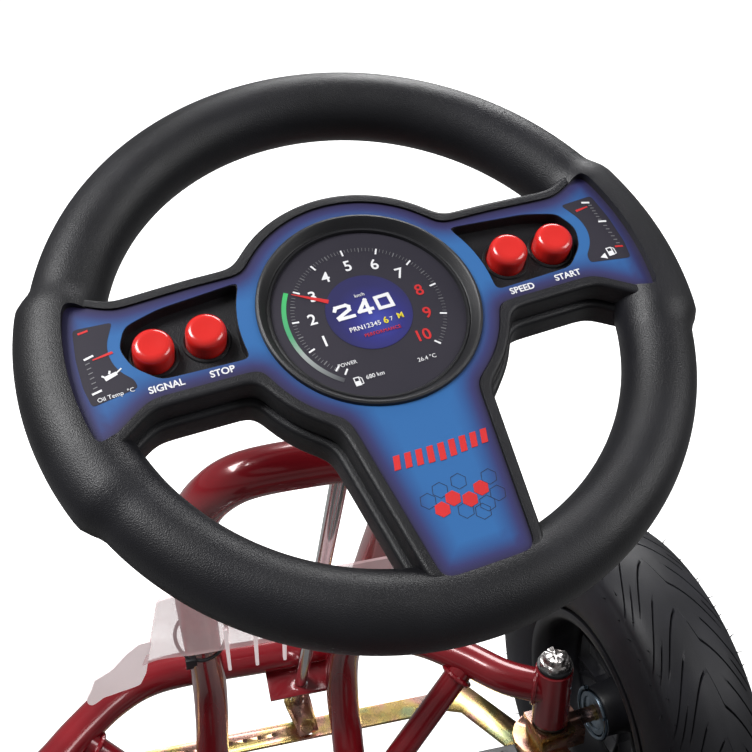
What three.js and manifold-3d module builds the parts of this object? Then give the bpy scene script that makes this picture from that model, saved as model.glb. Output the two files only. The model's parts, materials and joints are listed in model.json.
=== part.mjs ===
// Pedal kart chassis: tubular frame, steering, front and rear running gear, crank and chain drive.
// Millimetres. +X is the driver's right, +Y is forward, +Z is up. The origin is on the ground,
// under the middle of the bounding box.
import * as THREE from 'three';
import { mergeVertices } from 'three/addons/utils/BufferGeometryUtils.js';
import Module from 'manifold-3d';

const wasm = await Module();
wasm.setup();

// ---------- driving dimensions ----------
const GAP = 0.3;                 // clearance between separate touching pieces
const TUBE_R = 12.7;             // main frame tube, one inch
const BEAM_R = 13.3;             // front beam tube
const BRACE_R = 10;              // diagonal brace tube
const TYRE_R = 152.4;            // 12 inch tyre
const TYRE_HALF_W = 42;
const TRACK_HALF = 273;          // wheel middle plane from the kart's middle plane
const AXLE_Y = 345;              // front axle
const REAR_AXLE_Y = -352.2;
const KINGPIN_X = 207;
const HOUSING_R = 14.5;
const HOUSING_Z = [163, 218];    // kingpin housing bottom and top
const RAIL_X = 54;               // front half of the frame rails
const RAIL_REAR_X = 118;         // rear half of the frame rails
const RAIL_Z = 96;
const HOOP_TOP = new THREE.Vector3(0, 221, 536);
const BEAM_Y = 426;
const BEAM_Z = 206;
const WHEEL = new THREE.Vector3(21, 170, 639);   // steering wheel centre, in the rim's plane
const COLUMN_RISE = THREE.MathUtils.degToRad(62);
const STEER_REST = THREE.MathUtils.degToRad(9);  // steering wheel stands turned left by this much
const STEER_RATIO = 0.75;        // road wheel angle over steering wheel angle
const KNUCKLE_REST = STEER_REST * STEER_RATIO;
const ARM_LENGTH = 32;           // kingpin to tie pin
const PITMAN_LENGTH = ARM_LENGTH * STEER_RATIO;
const SHAFT_R = 5;
const SHAFT_END = 575;           // shaft length below the steering wheel's centre
const RIM_R = 126.7;             // steering wheel rim centreline
const RIM_TUBE = 16;
const CRANK = new THREE.Vector3(0, 165, 190);
const CRANK_ARM = 100;
const PITCH = 12.7;              // chain pitch
const CHAINRING_TEETH = 28;
const SPROCKET_TEETH = 14;
const CHAIN_X = 32;
const STEEL_SHEET = 3;
const AXLE_R = 7.5;              // rear axle

// ---------- finishes ----------
const finish = (color, roughness, metalness) => ({ color, roughness, metalness });
const RED = finish(0x7d0f18, 0.25, 0.3);
const BLACK_GRAIN = finish(0x141416, 0.55, 0);
const BLACK_GLOSS = finish(0x0c0c0e, 0.25, 0);
const BUTTON_RED = finish(0xd81f1c, 0.2, 0);
const CHROME = finish(0xc8ccd0, 0.12, 1);
const ZINC = finish(0xc9a552, 0.3, 1);
const STEEL = finish(0x9a9da2, 0.35, 1);
const RUBBER = finish(0x1c1c1f, 0.8, 0);
const BEARING = finish(0x5f7186, 0.3, 0.8);
const FROSTED = finish(0xf1dede, 0.5, 0);
const NYLON = finish(0x202124, 0.6, 0);

const kart = new THREE.Group();

// ---------- helpers ----------
function add(parent, name, geometry, look) {
  const mesh = new THREE.Mesh(geometry, new THREE.MeshStandardMaterial(look));
  mesh.name = name;
  parent.add(mesh);
  return mesh;
}

function solidOf(geometry) {
  const bare = geometry.clone();
  bare.deleteAttribute('normal');
  bare.deleteAttribute('uv');
  const merged = mergeVertices(bare, 1e-3);
  return new wasm.Manifold(new wasm.Mesh({
    numProp: 3,
    vertProperties: new Float32Array(merged.attributes.position.array),
    triVerts: new Uint32Array(merged.index.array),
  }));
}

function geometryOf(solid) {
  const mesh = solid.getMesh();
  const geometry = new THREE.BufferGeometry();
  geometry.setAttribute('position', new THREE.BufferAttribute(mesh.vertProperties, 3));
  geometry.setIndex(new THREE.BufferAttribute(mesh.triVerts, 1));
  return geometry;
}

// Joins the first geometries and cuts the second ones out of the result.
function carve(joined, cut = []) {
  let solid = solidOf(joined[0]);
  for (const piece of joined.slice(1)) solid = solid.add(solidOf(piece));
  for (const piece of cut) solid = solid.subtract(solidOf(piece));
  return geometryOf(solid);
}

function circle(radius, sides, x = 0, y = 0) {
  const points = [];
  for (let i = 0; i < sides; i += 1) {
    const a = (2 * Math.PI * (i + 0.5)) / sides;
    points.push(new THREE.Vector2(x + radius * Math.cos(a), y + radius * Math.sin(a)));
  }
  return points;
}

function tube(points, radius, steps, sides = 10) {
  const curve = new THREE.CatmullRomCurve3(points, false, 'centripetal');
  const section = new THREE.Shape(circle(radius, sides));
  return new THREE.ExtrudeGeometry(section, { steps, extrudePath: curve });
}

// A plate from an outline in X and Y, with round holes [x, y, radius], standing on z.
function plate(outline, z, thickness, holes = [], sides = 12) {
  const shape = new THREE.Shape(outline);
  for (const [x, y, r] of holes) shape.holes.push(new THREE.Path(circle(r, sides, x, y)));
  const geometry = new THREE.ExtrudeGeometry(shape, { depth: thickness, bevelEnabled: false, curveSegments: 8 });
  return geometry.translate(0, 0, z);
}

function box(size, centre) {
  return new THREE.BoxGeometry(...size).translate(...centre);
}

// A round bar between two points.
function bar(from, to, radius, sides = 16) {
  const a = new THREE.Vector3(...from);
  const b = new THREE.Vector3(...to);
  const along = b.clone().sub(a);
  const geometry = new THREE.CylinderGeometry(radius, radius, along.length(), sides);
  const turn = new THREE.Quaternion().setFromUnitVectors(new THREE.Vector3(0, 1, 0), along.clone().normalize());
  return geometry.applyQuaternion(turn).translate(...a.add(b).multiplyScalar(0.5));
}

// A ring or disc turned about the X axis: profile points are [x, radius].
function turnedX(profile, segments) {
  const points = profile.map(([x, r]) => new THREE.Vector2(r, x));
  return new THREE.LatheGeometry(points, segments).rotateZ(-Math.PI / 2);
}

// The same about the Z axis: profile points are [radius, z], going up the outside.
function turnedZ(profile, segments) {
  const points = profile.map(([r, z]) => new THREE.Vector2(r, z));
  return new THREE.LatheGeometry(points, segments).rotateX(Math.PI / 2);
}

function ringZ(inner, outer, low, high, segments = 20) {
  return turnedZ([[inner, low], [outer, low], [outer, high], [inner, high], [inner, low]], segments);
}

function ringX(inner, outer, low, high, segments = 20) {
  return turnedX([[low, inner], [low, outer], [high, outer], [high, inner], [low, inner]], segments);
}

// A ring on the right side from near to far along X, or its mirror image on the left side.
function sideRing(s, inner, outer, near, far, segments) {
  return ringX(inner, outer, s > 0 ? near : -far, s > 0 ? far : -near, segments);
}

const SIDES = [['right', 1], ['left', -1]];
const v = (x, y, z) => new THREE.Vector3(x, y, z);

// ---------- frame ----------
const HOOP_HALF = [
  v(34, 223, 532), v(52, 238, 508), v(58, 265, 463), v(58, 310, 387), v(54, 366, 283),
  v(51, 391, 222), v(52, 398.5, 172), v(54, 398, 140), v(RAIL_X, 386, 111), v(RAIL_X, 360, RAIL_Z),
  v(RAIL_X, 300, RAIL_Z),
];
const mirrored = (points) => points.map((p) => v(-p.x, p.y, p.z)).reverse();
const HOOP_PATH = [...mirrored(HOOP_HALF), HOOP_TOP, ...HOOP_HALF];
const HOOP_STEPS = 56;
const hoop = tube(HOOP_PATH, TUBE_R, HOOP_STEPS);

const column = v(0, Math.cos(COLUMN_RISE), -Math.sin(COLUMN_RISE));
const onColumn = (t) => WHEEL.clone().addScaledVector(column, t).toArray();
const SLEEVE_R = 9;
const SLEEVE = [94, 134];        // column sleeve, distances below the steering wheel's centre
const sleeveBody = bar(onColumn(SLEEVE[0]), onColumn(SLEEVE[1]), SLEEVE_R);
const sleeveBore = bar(onColumn(SLEEVE[0] - 5), onColumn(SLEEVE[1] + 5), SHAFT_R + 2);
add(kart, 'steering_hoop', carve([hoop, sleeveBody], [sleeveBore]), RED);
const BUSH_LENGTH = 12;
const bushBore = bar(onColumn(SLEEVE[0] - 20), onColumn(SLEEVE[1] + 20), SHAFT_R + GAP);
const bushBody = bar(onColumn(SLEEVE[0] + GAP), onColumn(SLEEVE[0] + BUSH_LENGTH), SHAFT_R + 2 - GAP);
const bushFlange = bar(onColumn(SLEEVE[0] - 3), onColumn(SLEEVE[0] - GAP), SLEEVE_R);
const bushNeck = bar(onColumn(SLEEVE[0] - 1), onColumn(SLEEVE[0] + 1), SHAFT_R + 2 - GAP);
add(kart, 'column_bush', carve([bushBody, bushFlange, bushNeck], [bushBore]), NYLON);

const BEAM_HALF = [
  v(92, 425, BEAM_Z), v(122, 412, BEAM_Z - 2), v(150, 388, BEAM_Z - 5), v(176, 362, BEAM_Z - 8),
  v(KINGPIN_X, 345, BEAM_Z - 10),
];
const BEAM_PATH = [...mirrored(BEAM_HALF), v(0, BEAM_Y, BEAM_Z), ...BEAM_HALF];
const BEAM_STEPS = 30;
const beamTube = tube(BEAM_PATH, BEAM_R, BEAM_STEPS);
const KINGPIN_BORE = 8;
const housingBar = (s, radius, extra) => bar(
  [s * KINGPIN_X, AXLE_Y, HOUSING_Z[0] - extra], [s * KINGPIN_X, AXLE_Y, HOUSING_Z[1] + extra], radius, 16);
const housings = SIDES.map(([, s]) => housingBar(s, HOUSING_R, 0));
const kingpinBores = SIDES.map(([, s]) => housingBar(s, KINGPIN_BORE, 5));
add(kart, 'front_beam', carve([beamTube, ...housings], kingpinBores), RED);

const RAIL_STEPS = 22;
const railPath = (s) => [
  v(s * RAIL_X, 299.6, RAIL_Z), v(s * RAIL_X, 240, RAIL_Z), v(s * RAIL_X, 170, RAIL_Z),
  v(s * RAIL_X, 110, RAIL_Z), v(s * 60, 60, RAIL_Z), v(s * 84, 0, RAIL_Z), v(s * 108, -52, RAIL_Z),
  v(s * RAIL_REAR_X, -110, RAIL_Z), v(s * RAIL_REAR_X, -180, RAIL_Z), v(s * RAIL_REAR_X, -300, RAIL_Z),
  v(s * RAIL_REAR_X, -400, RAIL_Z),
];
const BRACE_TOP = [152, 386, 201];
const BRACE_FOOT = [RAIL_X, 352, RAIL_Z];
const hoopClearance = tube(HOOP_PATH, TUBE_R + GAP, HOOP_STEPS);
const beamClearance = tube(BEAM_PATH, BEAM_R + GAP, BEAM_STEPS);
for (const [side, s] of SIDES) {
  const at = ([x, y, z]) => [s * x, y, z];
  add(kart, `diagonal_brace_${side}`,
    carve([bar(at(BRACE_TOP), at(BRACE_FOOT), BRACE_R, 12)], [beamClearance, hoopClearance]), RED);

  add(kart, `frame_rail_${side}`, tube(railPath(s), TUBE_R, RAIL_STEPS), RED);
}

// Cross tubes between the rails, coped round them.
const railClearances = SIDES.map(([, s]) => tube(railPath(s), TUBE_R + GAP, RAIL_STEPS));
for (const [name, y] of [['front', -150], ['rear', -385]]) {
  const across = bar([-RAIL_REAR_X, y, RAIL_Z], [RAIL_REAR_X, y, RAIL_Z], BRACE_R, 12);
  add(kart, `cross_tube_${name}`, carve([across], railClearances), RED);
}
const CRANK_R = 7;
const CRANK_TUBE_R = 17;
const CRANK_TUBE_HALF = 24;
const spine = bar([0, -149, RAIL_Z], [0, 150, RAIL_Z + 6], TUBE_R, 12);
const spineRisePath = [v(0, 146, RAIL_Z + 6), v(0, 160, RAIL_Z + 14), v(0, CRANK.y, RAIL_Z + 32), CRANK];
const spineRise = tube(spineRisePath, TUBE_R, 8);
const crossCut = bar([-20, -150, RAIL_Z], [20, -150, RAIL_Z], BRACE_R + GAP, 12);
const acrossCrank = (half, radius) => bar([-half, CRANK.y, CRANK.z], [half, CRANK.y, CRANK.z], radius, 24);
add(kart, 'centre_spine', carve(
  [spine, spineRise, acrossCrank(CRANK_TUBE_HALF, CRANK_TUBE_R)],
  [crossCut, acrossCrank(CRANK_TUBE_HALF + 5, CRANK_R + GAP)]), RED);

// Seat bracket: a flat plate on two feet that sit on the rear rails.
const SEAT_PLATE_Z = 228;
const seatOutline = [[-100, -300], [100, -300], [100, -130], [-100, -130]]
  .map(([x, y]) => new THREE.Vector2(x, y));
const seatHoles = [[-70, -270, 4], [70, -270, 4], [-70, -160, 4], [70, -160, 4]];
const seatFoot = (s, y) => box([6, 34, SEAT_PLATE_Z - RAIL_Z - TUBE_R - GAP + 4],
  [s * 96, y, (SEAT_PLATE_Z + RAIL_Z + TUBE_R + GAP + 4) / 2]);
const seatLip = (s, y) => box([34, 34, STEEL_SHEET], [s * 110, y, RAIL_Z + TUBE_R + GAP + STEEL_SHEET / 2]);
add(kart, 'seat_bracket', carve([
  plate(seatOutline, SEAT_PLATE_Z, 4, seatHoles, 8),
  ...[-285, -145].flatMap((y) => SIDES.flatMap(([, s]) => [seatFoot(s, y), seatLip(s, y)])),
]), RED);

// ---------- kingpin bushes ----------
const KINGPIN_R = 6;
for (const [side, s] of SIDES) {
  const [low, high] = HOUSING_Z;
  const bush = turnedZ([
    [KINGPIN_R + GAP, low - 3], [HOUSING_R - 1, low - 3], [HOUSING_R - 1, low - GAP],
    [KINGPIN_BORE - GAP, low - GAP],
    [KINGPIN_BORE - GAP, high + GAP], [HOUSING_R - 1, high + GAP], [HOUSING_R - 1, high + 3],
    [KINGPIN_R + GAP, high + 3], [KINGPIN_R + GAP, low - 3],
  ], 20);
  add(kart, `kingpin_bush_${side}`, bush.translate(s * KINGPIN_X, AXLE_Y, 0), NYLON);
}

// ---------- front panel ----------
// A flat sheet on the driver's side of the hoop's legs, with a drooping wing on each side and three thin fins.
const PANEL_THICK = 2;
const PANEL_FOOT = v(0, 379, 198);
const PANEL_LEAN = 0.444;        // the panel leans back at the same angle as the legs
const panelWing = [
  [-82, 243], [-87, 200], [-91, 180], [-96, 181], [-105, 166], [-115, 141], [-128, 118], [-132, 97], [-137, 75],
  [-137, 64], [-134, 64], [-125, 85], [-113, 98], [-99.5, 110], [-96, 128], [-91, 132], [-84, 134], [-77, 130],
  [-66, 126],
];
const panelFins = [
  [-42, 125.4], [-39.4, 94], [-37, 94], [-38, 125], [-26, 125], [-20.4, 90], [-18, 90], [-21, 125],
  [-6, 124.6], [1.4, 92], [3.6, 92], [0, 124],
];
const shaftArch = [[10, 124], [12, 150], [36, 150], [40, 124]];
const panelOutline = [
  [-60, 247], ...panelWing, ...panelFins, ...shaftArch,
  ...panelWing.map(([x, y]) => [-x, y]).reverse(), [60, 247],
].map(([x, y]) => new THREE.Vector2(x, y));
const panel = new THREE.Group();
panel.position.copy(PANEL_FOOT);
panel.rotation.x = Math.PI / 2 + PANEL_LEAN;
kart.add(panel);
add(panel, 'front_panel', plate(panelOutline, 0, PANEL_THICK), FROSTED);

// ---------- steering ----------
const steering = new THREE.Group();
steering.position.copy(WHEEL);
steering.rotation.order = 'XYZ';
steering.rotation.x = Math.PI / 2 - COLUMN_RISE;  // local +Z points back up at the driver
kart.add(steering);
const turned = new THREE.Group();
turned.rotation.z = STEER_REST;
steering.add(turned);

const SPLIT = 1;                 // seam between the rim shells, above the rim's middle plane
const HUB_R = 56;
const HUB_TOP = 17;
const HUB_LOW = -40;
const POD = { inner: 60, outer: 102, low: -2, high: 22 };
const DIAL_R = 49;
const DIAL_FLOOR = 8;            // bottom of the dial's pocket, above the rim's middle plane
const BUTTON_R = 8.5;
const BUTTONS = [[91, 9.8], [68.8, 10.3]];

function rimHalf(upper) {
  const profile = [];
  const steps = 6;
  const start = Math.asin((SPLIT + (upper ? GAP / 2 : -GAP / 2)) / RIM_TUBE);
  for (let i = 0; i <= steps; i += 1) {
    const a = upper
      ? start + ((Math.PI - 2 * start) * i) / steps
      : Math.PI - start + ((Math.PI + 2 * start) * i) / steps;
    profile.push([RIM_R + RIM_TUBE * Math.cos(a), RIM_TUBE * Math.sin(a)]);
  }
  profile.push(profile[0]);
  return turnedZ(profile, 36);
}

// Outline of the hub and its three spokes, walked clockwise seen from the driver.
function spokesOutline(grow) {
  const half = [
    [19 + grow, -116], [21 + grow, -84], [26 + grow, -60], [44 + grow, -38], [62, -20 - grow],
    [112, -16 - grow], [112, 26 + grow], [66, 28 + grow], [52 + grow, 34], [30, 50 + grow],
  ];
  return [...half, [0, 56 + grow], ...half.map(([x, y]) => [-x, y]).reverse()]
    .map(([x, y]) => new THREE.Vector2(x, y));
}

const rimCore = turnedZ([[RIM_R, -30], [RIM_R + 60, -30], [RIM_R + 60, 30], [RIM_R, 30], [RIM_R, -30]], 36);
const dialPocket = turnedZ([[0, DIAL_FLOOR], [DIAL_R, DIAL_FLOOR], [DIAL_R + 3, 30], [0, 30]], 32);
const podCorners = [[POD.inner, POD.low], [POD.outer, POD.low], [POD.outer, POD.high], [POD.inner, POD.high]];
const podShape = (s) => podCorners.map(([x, y]) => new THREE.Vector2(s * x, y));
const podPocket = (s) => plate(s > 0 ? podShape(s) : podShape(s).reverse(), 9, 30);
const buttonHole = (s, [x, y]) => bar([s * x, y, SPLIT - 10], [s * x, y, 30], BUTTON_R + 0.4, 16);
const BOARD = { width: 58, height: 50, thick: 2, y: 2 };   // circuit board behind the dial
const boardRoom = (depth, z) => box([BOARD.width + 6, BOARD.height + 6, depth], [0, BOARD.y, z]);
const boardPocket = boardRoom(20, SPLIT - 4);
const buttonHoles = SIDES.flatMap(([, s]) => BUTTONS.map((place) => buttonHole(s, place)));
const upperSpokes = plate(spokesOutline(0), SPLIT + GAP / 2, 14 - SPLIT);
const upperHubProfile = [[0, SPLIT + GAP / 2], [HUB_R, SPLIT + GAP / 2], [HUB_R - 2, HUB_TOP], [0, HUB_TOP]];
const upperHub = turnedZ(upperHubProfile, 32);
add(turned, 'wheel_upper_shell', carve(
  [geometryOf(solidOf(upperSpokes).subtract(solidOf(rimCore))), upperHub, rimHalf(true)],
  [dialPocket, ...SIDES.map(([, s]) => podPocket(s)), ...buttonHoles, boardPocket],
), BLACK_GRAIN);

const lowerSpokes = plate(spokesOutline(0), -12, 12 + SPLIT - GAP / 2);
const lowerHub = turnedZ([[0, HUB_LOW], [20, HUB_LOW], [34, -28], [HUB_R - 2, -10], [HUB_R, SPLIT - GAP / 2],
  [0, SPLIT - GAP / 2]], 32);
const SHAFT_TOP = -4;
const shaftSocket = bar([0, 0, HUB_LOW - 5], [0, 0, SHAFT_TOP + 1], SHAFT_R + GAP, 16);
const springPockets = SIDES.flatMap(([, s]) => BUTTONS.map(
  ([x, y]) => bar([s * x, y, -7], [s * x, y, 10], BUTTON_R + 0.4, 16)));
add(turned, 'wheel_lower_shell', carve(
  [geometryOf(solidOf(lowerSpokes).subtract(solidOf(rimCore))), lowerHub, rimHalf(false)],
  [shaftSocket, ...springPockets, boardRoom(12, SPLIT + 2)],
), BLACK_GRAIN);

add(turned, 'sound_board', box([BOARD.width, BOARD.height, BOARD.thick], [0, BOARD.y, -1]), STEEL);
const FACE_R = 43;               // dial face, inside its bezel
const faceProfile = [[0, DIAL_FLOOR + GAP], [FACE_R, DIAL_FLOOR + GAP], [FACE_R, 10.5], [0, 10.5]];
add(turned, 'dial_bezel', ringZ(FACE_R + 0.5, DIAL_R - GAP, DIAL_FLOOR + GAP, 15, 32), BLACK_GRAIN);
add(turned, 'dial_face', turnedZ(faceProfile, 32), BLACK_GLOSS);
for (const [side, s] of SIDES) {
  BUTTONS.forEach(([x, y], i) => {
    const button = turnedZ([[0, -2], [BUTTON_R, -2], [BUTTON_R, 13], [BUTTON_R - 1.5, 15.5], [0, 17]], 16);
    add(turned, `button_${side}_${i ? 'inner' : 'outer'}`, button.translate(s * x, y, 0), BUTTON_RED);
  });
}

add(turned, 'steering_shaft', bar([0, 0, SHAFT_TOP], [0, 0, -SHAFT_END], SHAFT_R, 16), CHROME);
// The pitman lever is keyed on the shaft and carries the pin that drives the tie bar.
const pitman = new THREE.Group();
pitman.position.z = -SHAFT_END + 8;
turned.add(pitman);
const leverOutline = [
  ...circle(11, 12).filter((p) => p.y > -6),
  new THREE.Vector2(-8, -PITMAN_LENGTH - 5), new THREE.Vector2(8, -PITMAN_LENGTH - 5),
];
const leverShape = leverOutline.sort((p, q) => Math.atan2(p.y + 8, p.x) - Math.atan2(q.y + 8, q.x));
const pitmanPin = turnedZ([[0, -16], [3, -16], [3, 1], [5.5, 1], [5.5, 7], [0, 7]], 12);
add(pitman, 'pitman_lever', carve(
  [plate(leverShape, 0, 4, [[0, 0, SHAFT_R + GAP]]), pitmanPin.translate(0, -PITMAN_LENGTH, 0)]), ZINC);

// Lower bearing of the column, welded under the front beam.
const COLUMN_FOOT = 514;         // distance of the lower column bearing below the wheel's centre
const foot = v(...onColumn(COLUMN_FOOT));
const footPlate = plate([[-26, -11], [26, -11], [26, 26], [-26, 26]].map(([x, y]) => new THREE.Vector2(x, y)),
  0, STEEL_SHEET, [[0, 0, SHAFT_R + GAP]]);
footPlate.rotateX(Math.PI / 2 - COLUMN_RISE).translate(foot.x, foot.y, foot.z);
add(kart, 'column_foot', carve([footPlate], [beamClearance, hoopClearance]), RED);

// ---------- knuckles, stub axles and front wheels ----------
const LOWER_PLATE_Z = 138;
const TIE_Z = 122;
const BLOCK_OUT = 25;            // outer face of the stub block from the kingpin axis
const WHEEL_OFFSET = TRACK_HALF - KINGPIN_X;
const HUB_HALF = 24;

function discOutline(s) {
  const points = [];
  for (let i = 0; i <= 8; i += 1) {
    const a = Math.PI / 2 + (s * Math.PI * i) / 8;
    points.push(new THREE.Vector2(30 * Math.cos(a) * 0.9, 30 * Math.sin(a) * 0.8 + 4));
  }
  return s > 0 ? points : points.reverse();
}

function roadWheel(parent, end, side, s, bore) {
  const tyre = turnedX([
    [-24, 82], [-34, 90], [-TYRE_HALF_W, 112], [-40, 132], [-32, 145], [-16, 151], [0, TYRE_R], [16, 151],
    [32, 145], [40, 132], [TYRE_HALF_W, 112], [34, 90], [24, 82], [-24, 82],
  ], 28);
  add(parent, `${end}_tyre_${side}`, tyre, RUBBER);
  const barrel = turnedX([
    [-36, 78], [-36, 88], [-33, 88], [-24, 81.5], [24, 81.5], [33, 88], [36, 88], [36, 78], [22, 74],
    [-22, 74], [-36, 78],
  ], 28);
  const web = new THREE.Shape(circle(76, 28));
  for (let i = 0; i < 6; i += 1) {
    const a = (Math.PI * i) / 3;
    const at = (r, da) => new THREE.Vector2(r * Math.cos(a + da), r * Math.sin(a + da));
    web.holes.push(new THREE.Path([at(34, -0.3), at(66, -0.4), at(69, 0), at(66, 0.4), at(34, 0.3)]));
  }
  const webSolid = new THREE.ExtrudeGeometry(web, { depth: 12, bevelEnabled: false }).rotateY(Math.PI / 2);
  const hub = turnedX([[-HUB_HALF, 0], [-HUB_HALF, 24], [HUB_HALF, 24], [HUB_HALF, 0]], 16);
  const seat = bar([-HUB_HALF - 5, 0, 0], [HUB_HALF + 5, 0, 0], bore, 16);
  add(parent, `${end}_rim_${side}`,
    carve([barrel, webSolid.translate(s * 8 - 6, 0, 0), hub], [seat]), BLACK_GLOSS);
}

for (const [side, s] of SIDES) {
  const knuckle = new THREE.Group();
  knuckle.position.set(s * KINGPIN_X, AXLE_Y, 0);
  knuckle.rotation.z = KNUCKLE_REST;
  kart.add(knuckle);

  const flat = (points) => points.map(([x, y]) => new THREE.Vector2(x, y));
  const upperPlate = plate(flat([[-15, -15], [15, -15], [15, 15], [-15, 15]]), 155.5, 4);
  const block = box([BLOCK_OUT + 13, 28, 18], [s * (BLOCK_OUT - 13) / 2, 0, 147]);
  const arm = plate(flat([[-9, -ARM_LENGTH - 9], [9, -ARM_LENGTH - 9], [9, 0], [-9, 0]]), LOWER_PLATE_Z, 4);
  const disc = plate(discOutline(s), LOWER_PLATE_Z, 4);
  const boreForPin = bar([0, -ARM_LENGTH, 120], [0, -ARM_LENGTH, 160], 4 + GAP, 12);
  const stub = bar([s * 2, 0, TYRE_R], [s * (WHEEL_OFFSET + HUB_HALF + 14), 0, TYRE_R], 6, 16);
  const boreForKingpin = bar([0, 0, 158], [0, 0, 170], KINGPIN_R + GAP, 16);
  add(knuckle, `knuckle_${side}`,
    carve([upperPlate, block, arm, disc, stub], [boreForPin, boreForKingpin]), ZINC);

  const nutZ = HOUSING_Z[1] + 3 + GAP;
  add(knuckle, `kingpin_${side}`, bar([0, 0, 158 + GAP], [0, 0, nutZ + 6], KINGPIN_R, 16), STEEL);
  add(knuckle, `kingpin_nut_${side}`, turnedZ([
    [0, nutZ + 6 + GAP], [KINGPIN_R + GAP, nutZ + 6 + GAP], [KINGPIN_R + GAP, nutZ], [12, nutZ],
    [11, nutZ + 6], [7, nutZ + 9], [0, nutZ + 10],
  ], 12), CHROME);
  add(knuckle, `tie_pin_${side}`, turnedZ([
    [0, TIE_Z - 9], [6.5, TIE_Z - 9], [6.5, TIE_Z - 0.5 - GAP], [4, TIE_Z - 0.5 - GAP],
    [4, LOWER_PLATE_Z + 4 + GAP], [6.5, LOWER_PLATE_Z + 4 + GAP], [6.5, LOWER_PLATE_Z + 9],
    [0, LOWER_PLATE_Z + 9],
  ], 12).translate(0, -ARM_LENGTH, 0), STEEL);
  const nutX = WHEEL_OFFSET + HUB_HALF + 5;
  add(knuckle, `stub_nut_${side}`,
    sideRing(s, 7.5, 12, nutX + GAP, nutX + 7, 6).translate(0, 0, TYRE_R), CHROME);

  const wheelGroup = new THREE.Group();
  wheelGroup.position.set(s * WHEEL_OFFSET, 0, TYRE_R);
  knuckle.add(wheelGroup);
  roadWheel(wheelGroup, 'front', side, s, 17);
  const bearing = ringX(6 + GAP, 17 - GAP, -HUB_HALF - 2, HUB_HALF + 2, 24);
  add(wheelGroup, `hub_bearing_${side}`, bearing, BEARING);
}

// ---------- tie bar ----------
const tie = new THREE.Group();
tie.position.set(ARM_LENGTH * Math.sin(KNUCKLE_REST), AXLE_Y - ARM_LENGTH * Math.cos(KNUCKLE_REST), TIE_Z);
kart.add(tie);
const STRIP = { near: 96.5, far: 116.5, half: 165 };   // forward of the tie pins, and half its length
const rect = (x0, y0, x1, y1) => [[x0, y0], [x1, y0], [x1, y1], [x0, y1]]
  .map(([x, y]) => new THREE.Vector2(x, y));
const stripHoles = [];
for (let i = 0; i < 7; i += 1) stripHoles.push([-78 + 12 * i, STRIP.near + 10, 2.2]);
const strip = plate(rect(-STRIP.half, STRIP.near, STRIP.half, STRIP.far), -2.5, 2.5, stripHoles, 8);
const flange = box([2 * STRIP.half, 2.5, 12], [0, STRIP.far - 1.25, -6]);
const slotCut = box([8, 13, 20], [WHEEL.x, 106, 0]);   // the pitman pin slides in this slot
const tieEnds = SIDES.map(([, s]) => {
  const points = [
    [KINGPIN_X - 9, -9], [KINGPIN_X + 9, -9], [KINGPIN_X + 9, 20], [165, 112], [153, STRIP.far],
    [135, STRIP.far], [135, STRIP.near], [150, 90], [KINGPIN_X - 17, 16],
  ].map(([x, y]) => new THREE.Vector2(s * x, y));
  return plate(s > 0 ? points : points.reverse(), -0.5, 3.5, [[s * KINGPIN_X, 0, 4 + GAP]]);
});
add(tie, 'tie_bar', carve([strip, flange, ...tieEnds], [slotCut]), ZINC);

// ---------- crank, pedals and chain drive ----------
const crankGroup = new THREE.Group();
crankGroup.position.copy(CRANK);
kart.add(crankGroup);
const ARM_X = 74;
const PEDAL_X = [ARM_X + 12, ARM_X + 84];
const crankAxle = bar([-ARM_X - 6, 0, 0], [ARM_X + 6, 0, 0], CRANK_R, 16);
const crankArm = (s) => box([10, CRANK_ARM + 18, 16], [s * ARM_X, s * CRANK_ARM / 2, 0]);
const pedalPin = (s) => bar([s * ARM_X, s * CRANK_ARM, 0], [s * (PEDAL_X[1] - 6), s * CRANK_ARM, 0], 5, 12);
add(crankGroup, 'crank', carve([crankAxle, ...SIDES.flatMap(([, s]) => [crankArm(s), pedalPin(s)])]), CHROME);
for (const [side, s] of SIDES) {
  const body = box([PEDAL_X[1] - PEDAL_X[0], 64, 22], [(PEDAL_X[0] + PEDAL_X[1]) / 2, 0, 0]);
  const bore = bar([PEDAL_X[0] - 5, 0, 0], [PEDAL_X[1] - 5, 0, 0], 5 + GAP, 12);
  const pedal = carve([body], [bore]);
  if (s < 0) pedal.rotateZ(Math.PI);
  add(crankGroup, `pedal_${side}`, pedal.translate(0, s * CRANK_ARM, 0), NYLON);
}

function gearRadius(teeth) {
  return PITCH / (2 * Math.sin(Math.PI / teeth));
}

function gear(teeth, bore) {
  const pitchR = gearRadius(teeth);
  const outline = [];
  for (let i = 0; i < teeth; i += 1) {
    for (const [part, r] of [[0.08, pitchR - 4], [0.36, pitchR - 4], [0.62, pitchR + 3], [0.82, pitchR + 3]]) {
      const a = (2 * Math.PI * (i + part)) / teeth;
      outline.push(new THREE.Vector2(r * Math.cos(a), r * Math.sin(a)));
    }
  }
  const shape = new THREE.Shape(outline);
  shape.holes.push(new THREE.Path(circle(bore + GAP, 16)));
  return new THREE.ExtrudeGeometry(shape, { depth: 2.4, bevelEnabled: false }).rotateY(Math.PI / 2);
}

add(crankGroup, 'chainring', gear(CHAINRING_TEETH, CRANK_R).translate(CHAIN_X - 1.2, 0, 0), STEEL);

// Chain: one band round both gears, running outside their teeth.
const bigR = gearRadius(CHAINRING_TEETH) + 3.6;
const smallR = gearRadius(SPROCKET_TEETH) + 3.6;
const rearCentre = [REAR_AXLE_Y, TYRE_R];
const frontCentre = [CRANK.y, CRANK.z];
const spanY = frontCentre[0] - rearCentre[0];
const spanZ = frontCentre[1] - rearCentre[1];
const spanAngle = Math.atan2(spanZ, spanY);
const openAngle = Math.acos((bigR - smallR) / Math.hypot(spanY, spanZ));

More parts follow.
